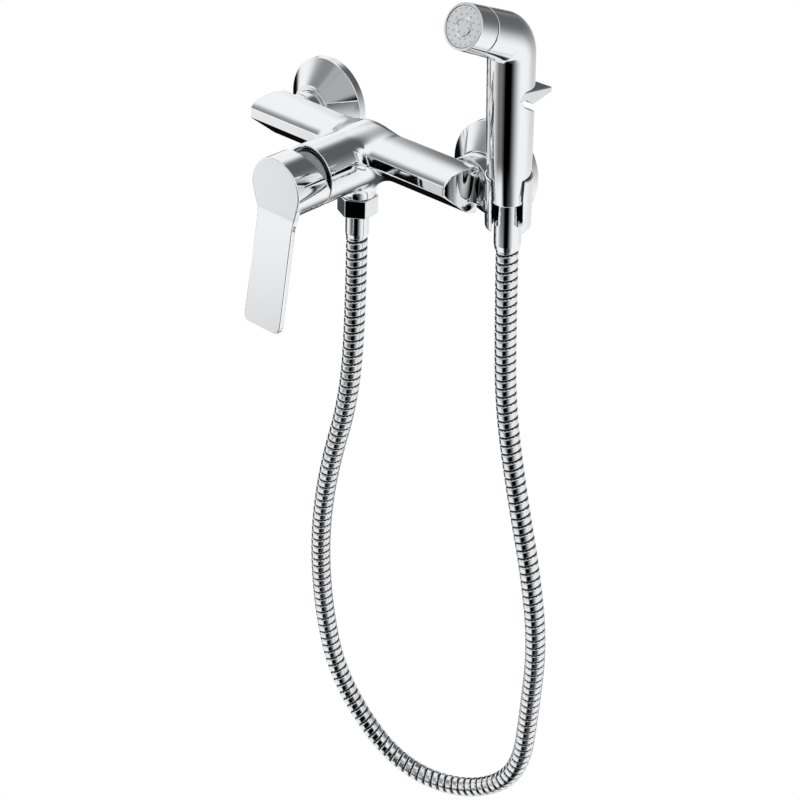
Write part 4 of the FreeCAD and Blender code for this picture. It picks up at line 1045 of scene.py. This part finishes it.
def polygon_distance(profile, first, second):
    """Distance to a closed polygon, negative inside."""
    nearest = np.full(first.shape, 1e9)
    inside = np.zeros(first.shape, bool)
    for (ax, ay), (bx, by) in zip(profile, profile[1:] + profile[:1]):
        ex, ey = bx - ax, by - ay
        px, py = first - ax, second - ay
        along = np.clip((px * ex + py * ey) / (ex * ex + ey * ey), 0, 1)
        nearest = np.minimum(nearest, np.hypot(px - ex * along, py - ey * along))
        crosses = (ay > second) != (by > second)
        edge_x = ax + (second - ay) * ex / (ey if ey else 1e-9)
        inside ^= crosses & (first < edge_x)
    return np.where(inside, -nearest, nearest)


def trigger_field(places):
    side, back, rise = in_handset(places)
    paddle = smooth_max(polygon_distance(paddle_profile, back, rise), back - 31.3, 0.9)
    paddle = smooth_max(paddle, np.abs(side) - paddle_half_width, 0.8)
    ear = trim(0.5, np.hypot(back + 3.2, rise - 70.0) - 2.6, np.abs(side) - paddle_half_width)
    whole = smooth_min(paddle, ear, 0.6)
    gap = np.maximum(np.abs(side) - 4.7, back - 0.6)
    return smooth_max(whole, -gap, 0.3)


trigger = cast("trigger_paddle", trigger_field, (99.5, -43.5, 58.5), (115.5, 0.5, 77.0), 0.38)
finish(trigger, "trigger", "chrome", ["trigger"])

# %% [markdown]
# ## The hose's fittings
#
# A hexagon nut holds the hose to the outlet. It is a hexagon trimmed by a cone at the top and the bottom,
# which leaves the curved lines that every such nut shows. Under it comes the crimped ferrule, and at the
# handset's end a long sleeve.

# %% Nut, ferrule and sleeve
nut_top = -27.4
nut_bottom = -40.0
nut_turn = 5.5
nut_half_flats = 11.875


def hose_nut_field(places):
    x, out, z = coordinates(places)
    across = out - outlet_out
    faces = []
    for i in range(3):
        turn_angle = math.radians(nut_turn + 30 + 60 * i)
        faces.append(np.abs(x * math.sin(turn_angle) + across * math.cos(turn_angle)) - nut_half_flats)
    from_axis = np.hypot(x, across)
    chamfer = from_axis - 13.35
    top = (chamfer + (z - nut_top) * 1.6) / 1.9
    bottom = (chamfer + (nut_bottom - z) * 1.6) / 1.9
    solid = trim(0.5, *faces, z - nut_top, nut_bottom - z, top, bottom)
    return smooth_max(solid, 8.1 - from_axis, 0.3)


hose_nut = cast("hose_nut_hexagon", hose_nut_field, (-15.0, -66.8, -41.0), (15.0, -36.4, -26.4), 0.42)
finish(hose_nut, "mixer", "chrome", ["hose_nut"])

ferrule = lathe("ferrule_sleeve", [
    (4.2, -36.9, 0), (7.85, -36.9, 0.2), (7.85, -40.2, 0), (7.9, -41.5, 0.2), (7.9, -54.7, 0.8),
    (7.5, -57.6, 0.35), (6.5, -57.6, 0), (6.5, -55.3, 0), (4.2, -55.3, 0),
], (0, -outlet_out, 0), (0, 0, 1), 96)
finish(ferrule, "mixer", "chrome", ["hose_ferrule"])

sleeve = lathe("handset_sleeve", [
    (7.35, -36.0, 0.1), (8.15, -36.0, 0.35), (8.75, -32.0, 1.5), (8.75, -1.3, 0.25), (8.2, -1.3, 0),
    (8.2, 8.0, 0), (4.2, 8.0, 0), (4.2, -33.0, 0), (7.35, -33.0, 0),
], on_handset(0, 0, 0), handset_rise, 96)
finish(sleeve, "handset", "chrome", ["hose_connector"])

# %% [markdown]
# ## The lever's ring and dome
#
# In the gap behind the lever's cap shows a domed ring over the cartridge, with the retaining nut's face
# round it. Little light reaches them there, so both have a darker chrome.

# %% Dome and retaining nut
dome_centre = 92.0
dome_start = 96.0
dome_opening = 11.0
dome_outside = 17.4
dome_inside = dome_outside - 1.5


def dome_arc(radius, count=14):
    """Points of a circle about the dome's centre, from the dome's foot to its opening."""
    first = math.asin((dome_start - dome_centre) / radius)
    last = math.asin(math.sqrt(radius ** 2 - dome_opening ** 2) / radius)
    turns = np.linspace(first, last, count)
    return [(radius * math.cos(t), dome_centre + radius * math.sin(t), 0) for t in turns]


dome = lathe("cartridge_dome", dome_arc(dome_outside) + dome_arc(dome_inside)[::-1], (0, 0, 0), OUT)
finish(dome, "mixer", "chrome", ["cover_dome"], shaded_chrome)
ring_nut = lathe("cartridge_ring", [
    (14.4, 90.0, 0), (18.5, 90.0, 0), (18.5, 96.0, 0.5), (14.4, 96.0, 0.3),
], (0, 0, 0), OUT)
finish(ring_nut, "mixer", "chrome", ["retaining_nut"], shaded_chrome)
print("dome and ring", len(dome.data.polygons) + len(ring_nut.data.polygons), "faces")

# %% [markdown]
# ## The spray head
#
# The collar screws on to the head at the seam and holds a perforated face. A near-black ring at the bottom
# of the seam is painted shade in the seam's gap. The face is a satin plate with a shallow ring in its middle,
# and a soft grey tip sits in each hole.

# %% Collar and face
head_axis = along_head(1) - along_head(0)
face_r = 11.1
collar = lathe("spray_ring", [
    (head_radius(33.9), 33.9, 0.35), (head_end_radius, head_length, 0.5), (12.0, head_length, 0.3),
    (11.8, 44.0, 0), (face_r, 41.9, 0), (face_r, 33.9, 0),
], along_head(0), head_axis)
finish(collar, "handset", "chrome", ["spray_collar"])
nodes["spray_face"].data.materials.clear()
nodes["spray_face"].data.materials.append(satin)
centre_ring = lathe("spray_centre", [
    (5.75, 47.5, 0), (5.75, 48.62, 0), (5.1, 48.98, 0.1), (4.85, 48.98, 0.1), (4.6, 48.62, 0), (4.6, 47.5, 0),
], along_head(0), head_axis, 96)
finish(centre_ring, "handset", "chrome")
print("collar", len(collar.data.polygons), "faces")

# %% Soft nozzle tips in the face's holes
face_up = np.cross(head_axis, handset_side)
tip_places, tip_faces, tip_normals = [], [], []
for ring_r, tip_count in ((3.6, 6), (7.0, 12), (10.4, 18)):
    for i in range(tip_count):
        spot = math.radians(360 * i / tip_count)
        centre = along_head(0) + ring_r * (handset_side * math.cos(spot) + face_up * math.sin(spot))
        places, faces, normals = turned([
            (0, 46.6, 0), (0.52, 46.6, 0), (0.52, 48.7, 0.2), (0, 48.78, 0),
        ], centre, head_axis, 12)
        tip_faces += [[corner + len(tip_places) for corner in face] for face in faces]
        tip_places += list(places)
        tip_normals += normals
tips = make_mesh("nozzle_tips", tip_places, tip_faces, tip_normals)
nozzle_grey = grained("nozzle_grey", (0.42, 0.43, 0.44), 0.0, 0.5, 900, 0.42, 0.6)
finish(tips, "handset", "rubber", material=nozzle_grey)
print("nozzle tips", len(tip_faces), "faces")

# %% A ring of painted shade at the bottom of the seam
seam_ring = lathe("seam_ring", [
    (12.9, 32.0, 0), (12.9, 35.0, 0), (11.0, 35.0, 0), (11.0, 32.0, 0),
], along_head(0), head_axis, 96)
# The ring's near-black material is painted shade in the gap of the seam.
finish(seam_ring, "handset", "chrome", material=hollow_shade)
print("seam ring", len(seam_ring.data.polygons), "faces")

# %% [markdown]
# ## Floor and light
#
# The photograph shows the object on plain white. Chrome has no colour of its own, so what it shows is the
# room: a white room with a few dark and grey cards gives it the long streaks of a studio picture. The cards
# are seen by reflections alone. The lamps stay at a plain level.

# %% Floor and world
floor_mesh = bpy.data.meshes.new("floor")
floor_mesh.from_pydata([(-12, -12, 0), (12, -12, 0), (12, 12, 0), (-12, 12, 0)], [], [(0, 1, 2, 3)])
floor = add_object("floor", floor_mesh)
floor.location = (0, 0, -3.0)
floor_material = new_material("floor_white", (0.86, 0.86, 0.86), 0.0, 0.9)
floor_mesh.materials.append(floor_material)


def seen_or_mirrored(tree):
    """One for rays from the camera, off metal or through glass, and zero for the rest."""
    rays = add_node(tree, "ShaderNodeLightPath", {})
    seen = math_node(tree, "MAXIMUM", rays["Is Camera Ray"], rays["Is Glossy Ray"])
    return math_node(tree, "MAXIMUM", seen, rays["Is Transmission Ray"])


floor_tree = floor_material.node_tree
lit = shader_of(floor_material).outputs["BSDF"]
glow = add_node(floor_tree, "ShaderNodeEmission", {"Color": (1, 1, 1, 1)})[0]
mixed = add_node(floor_tree, "ShaderNodeMixShader", {"Fac": seen_or_mirrored(floor_tree), 1: lit, 2: glow})[0]
floor_tree.links.new(mixed, floor_tree.nodes["Material Output"].inputs["Surface"])

world = bpy.data.worlds.new("white_room")
bpy.context.scene.world = world
world.use_nodes = True
world_tree = world.node_tree
background = world_tree.nodes["Background"]
background.inputs["Color"].default_value = (1, 1, 1, 1)
room_light = 0.6
extra_where_seen = math_node(world_tree, "MULTIPLY", seen_or_mirrored(world_tree), 1 - room_light)
brightness = math_node(world_tree, "ADD", extra_where_seen, room_light)
world_tree.links.new(brightness, background.inputs["Strength"])
print("floor and world ready")

# %% Soft lamps
lamp_aim = Vector((0.03, -0.06, -0.05))
for lamp_name, lamp_place, lamp_size, lamp_power in (
    ("lamp_left", Vector((-1.6, -1.8, 1.9)), 1.8, 22.0),
    ("lamp_right", Vector((1.9, -1.2, 1.2)), 1.4, 11.0),
):
    lamp_data = bpy.data.lights.new(lamp_name, "AREA")
    lamp_data.size = lamp_size
    lamp_data.energy = lamp_power
    lamp = add_object(lamp_name, lamp_data)
    lamp.location = lamp_place
    lamp.rotation_euler = (lamp_aim - lamp_place).to_track_quat("-Z", "Y").to_euler()
    lamp.visible_glossy = False
print("lamps ready")

# %% Cards that only reflections see
card_material = bpy.data.materials.new("studio_card")
card_material.use_nodes = True
card_tree = card_material.node_tree
card_tree.nodes.remove(card_tree.nodes["Principled BSDF"])
cover_value = add_node(card_tree, "ShaderNodeAttribute", {}, attribute_name="cover")["Fac"]
shade_colour = add_node(card_tree, "ShaderNodeAttribute", {}, attribute_name="shade")["Color"]
card_glow = add_node(card_tree, "ShaderNodeEmission", {"Color": shade_colour})[0]
card_clear = add_node(card_tree, "ShaderNodeBsdfTransparent", {})[0]
card_mix = add_node(card_tree, "ShaderNodeMixShader", {"Fac": cover_value, 1: card_clear, 2: card_glow})[0]
card_tree.links.new(card_mix, card_tree.nodes["Material Output"].inputs["Surface"])


def fade(value, start, end):
    """Zero at the start and one at the end, smoothly."""
    part = np.clip((value - start) / (end - start), 0, 1)
    return part * part * (3 - 2 * part)


def rises_and_falls(value, marks):
    """Zero outside the first and last mark, one between the middle two, and smooth between."""
    start, full_from, full_to, end = marks
    return fade(value, start, full_from + 1e-6) * (1 - fade(value, full_to - 1e-6, end))


def card(name, azimuths, elevations, grey, distance):
    """A curved card round the object. Azimuth turns from straight out of the wall to the right, elevation
    from level to up. Each list holds where the card starts, is full, stops being full, and ends."""
    centre = np.array([0.05, -0.06, 0.0])
    width, height = azimuths[3] - azimuths[0], elevations[3] - elevations[0]
    fine = 1.0 if width < 40 else 2.0
    columns = np.linspace(azimuths[0], azimuths[3], int(width / fine) + 3)
    rows = np.linspace(elevations[0], elevations[3], max(8, int(height)) + 1)
    across, up = np.meshgrid(columns, rows)
    a, e = np.radians(across.ravel()), np.radians(up.ravel())
    direction = np.stack([np.sin(a) * np.cos(e), -np.cos(a) * np.cos(e), np.sin(e)], 1)
    cover = rises_and_falls(across, azimuths) * rises_and_falls(up, elevations)
    count = len(columns)
    faces = [(i * count + j, i * count + j + 1, (i + 1) * count + j + 1, (i + 1) * count + j)
             for i in range(len(rows) - 1) for j in range(count - 1)]
    mesh = bpy.data.meshes.new(name)
    mesh.from_pydata([tuple(place) for place in centre + direction * distance], [], faces)
    cover_layer = mesh.attributes.new("cover", "FLOAT", "POINT")
    cover_layer.data.foreach_set("value", cover.ravel().astype(np.float32))
    shade_layer = mesh.attributes.new("shade", "FLOAT_COLOR", "POINT")
    linear = grey ** 2.2
    shade = np.tile([linear * 0.98, linear, linear * 1.03, 1.0], len(a))
    shade_layer.data.foreach_set("color", shade.astype(np.float32))
    mesh.materials.append(card_material)
    piece = add_object(name, mesh)
    piece.visible_camera = False
    piece.visible_diffuse = False
    piece.visible_transmission = False
    piece.visible_shadow = False
    piece.visible_volume_scatter = False


card_table = (
    ("card_behind_camera", (-5, 15, 41, 94), (-88, -70, -2, 18), 0.03, 2.30),
    ("card_level_right", (14, 30, 60, 84), (-24, -12, 8, 20), 0.03, 2.20),
    ("card_low_right", (30, 44, 54, 88), (-75, -60, -44, -34), 0.30, 2.25),
    ("card_left_of_camera", (-58, -14, 6, 22), (-41, -34, -21, -10), 0.46, 2.40),
    ("card_front_above", (-40, -10, 30, 60), (0, 12, 46, 80), 0.70, 2.60),
    ("card_ceiling", (100, 150, 180, 216), (-28, 30, 90, 90), 0.38, 2.50),
    ("card_back_wall", (120, 160, 190, 220), (-40, 10, 60, 80), 0.60, 2.53),
    ("card_back_left", (190, 206, 213, 227), (-12, 5, 18, 38), 0.36, 2.48),
    ("card_left_wall", (-104, -56, -40, 0), (8, 30, 44, 66), 0.56, 2.55),
    ("card_low_back", (150, 196, 228, 238), (-80, -66, -45, -36), 0.33, 2.45),
    ("card_back_strip", (-156, -138, -110, -96), (-60, -45, -14, 2), 0.08, 2.35),
    ("card_left_low", (-114, -102, -80, -68), (-54, -43, -26, -15), 0.30, 2.37),
)
for row in card_table:
    card(*row)
print("cards", len(card_table))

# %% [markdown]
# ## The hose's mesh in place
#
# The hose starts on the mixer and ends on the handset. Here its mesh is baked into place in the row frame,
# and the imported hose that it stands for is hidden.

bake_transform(hose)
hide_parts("hose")
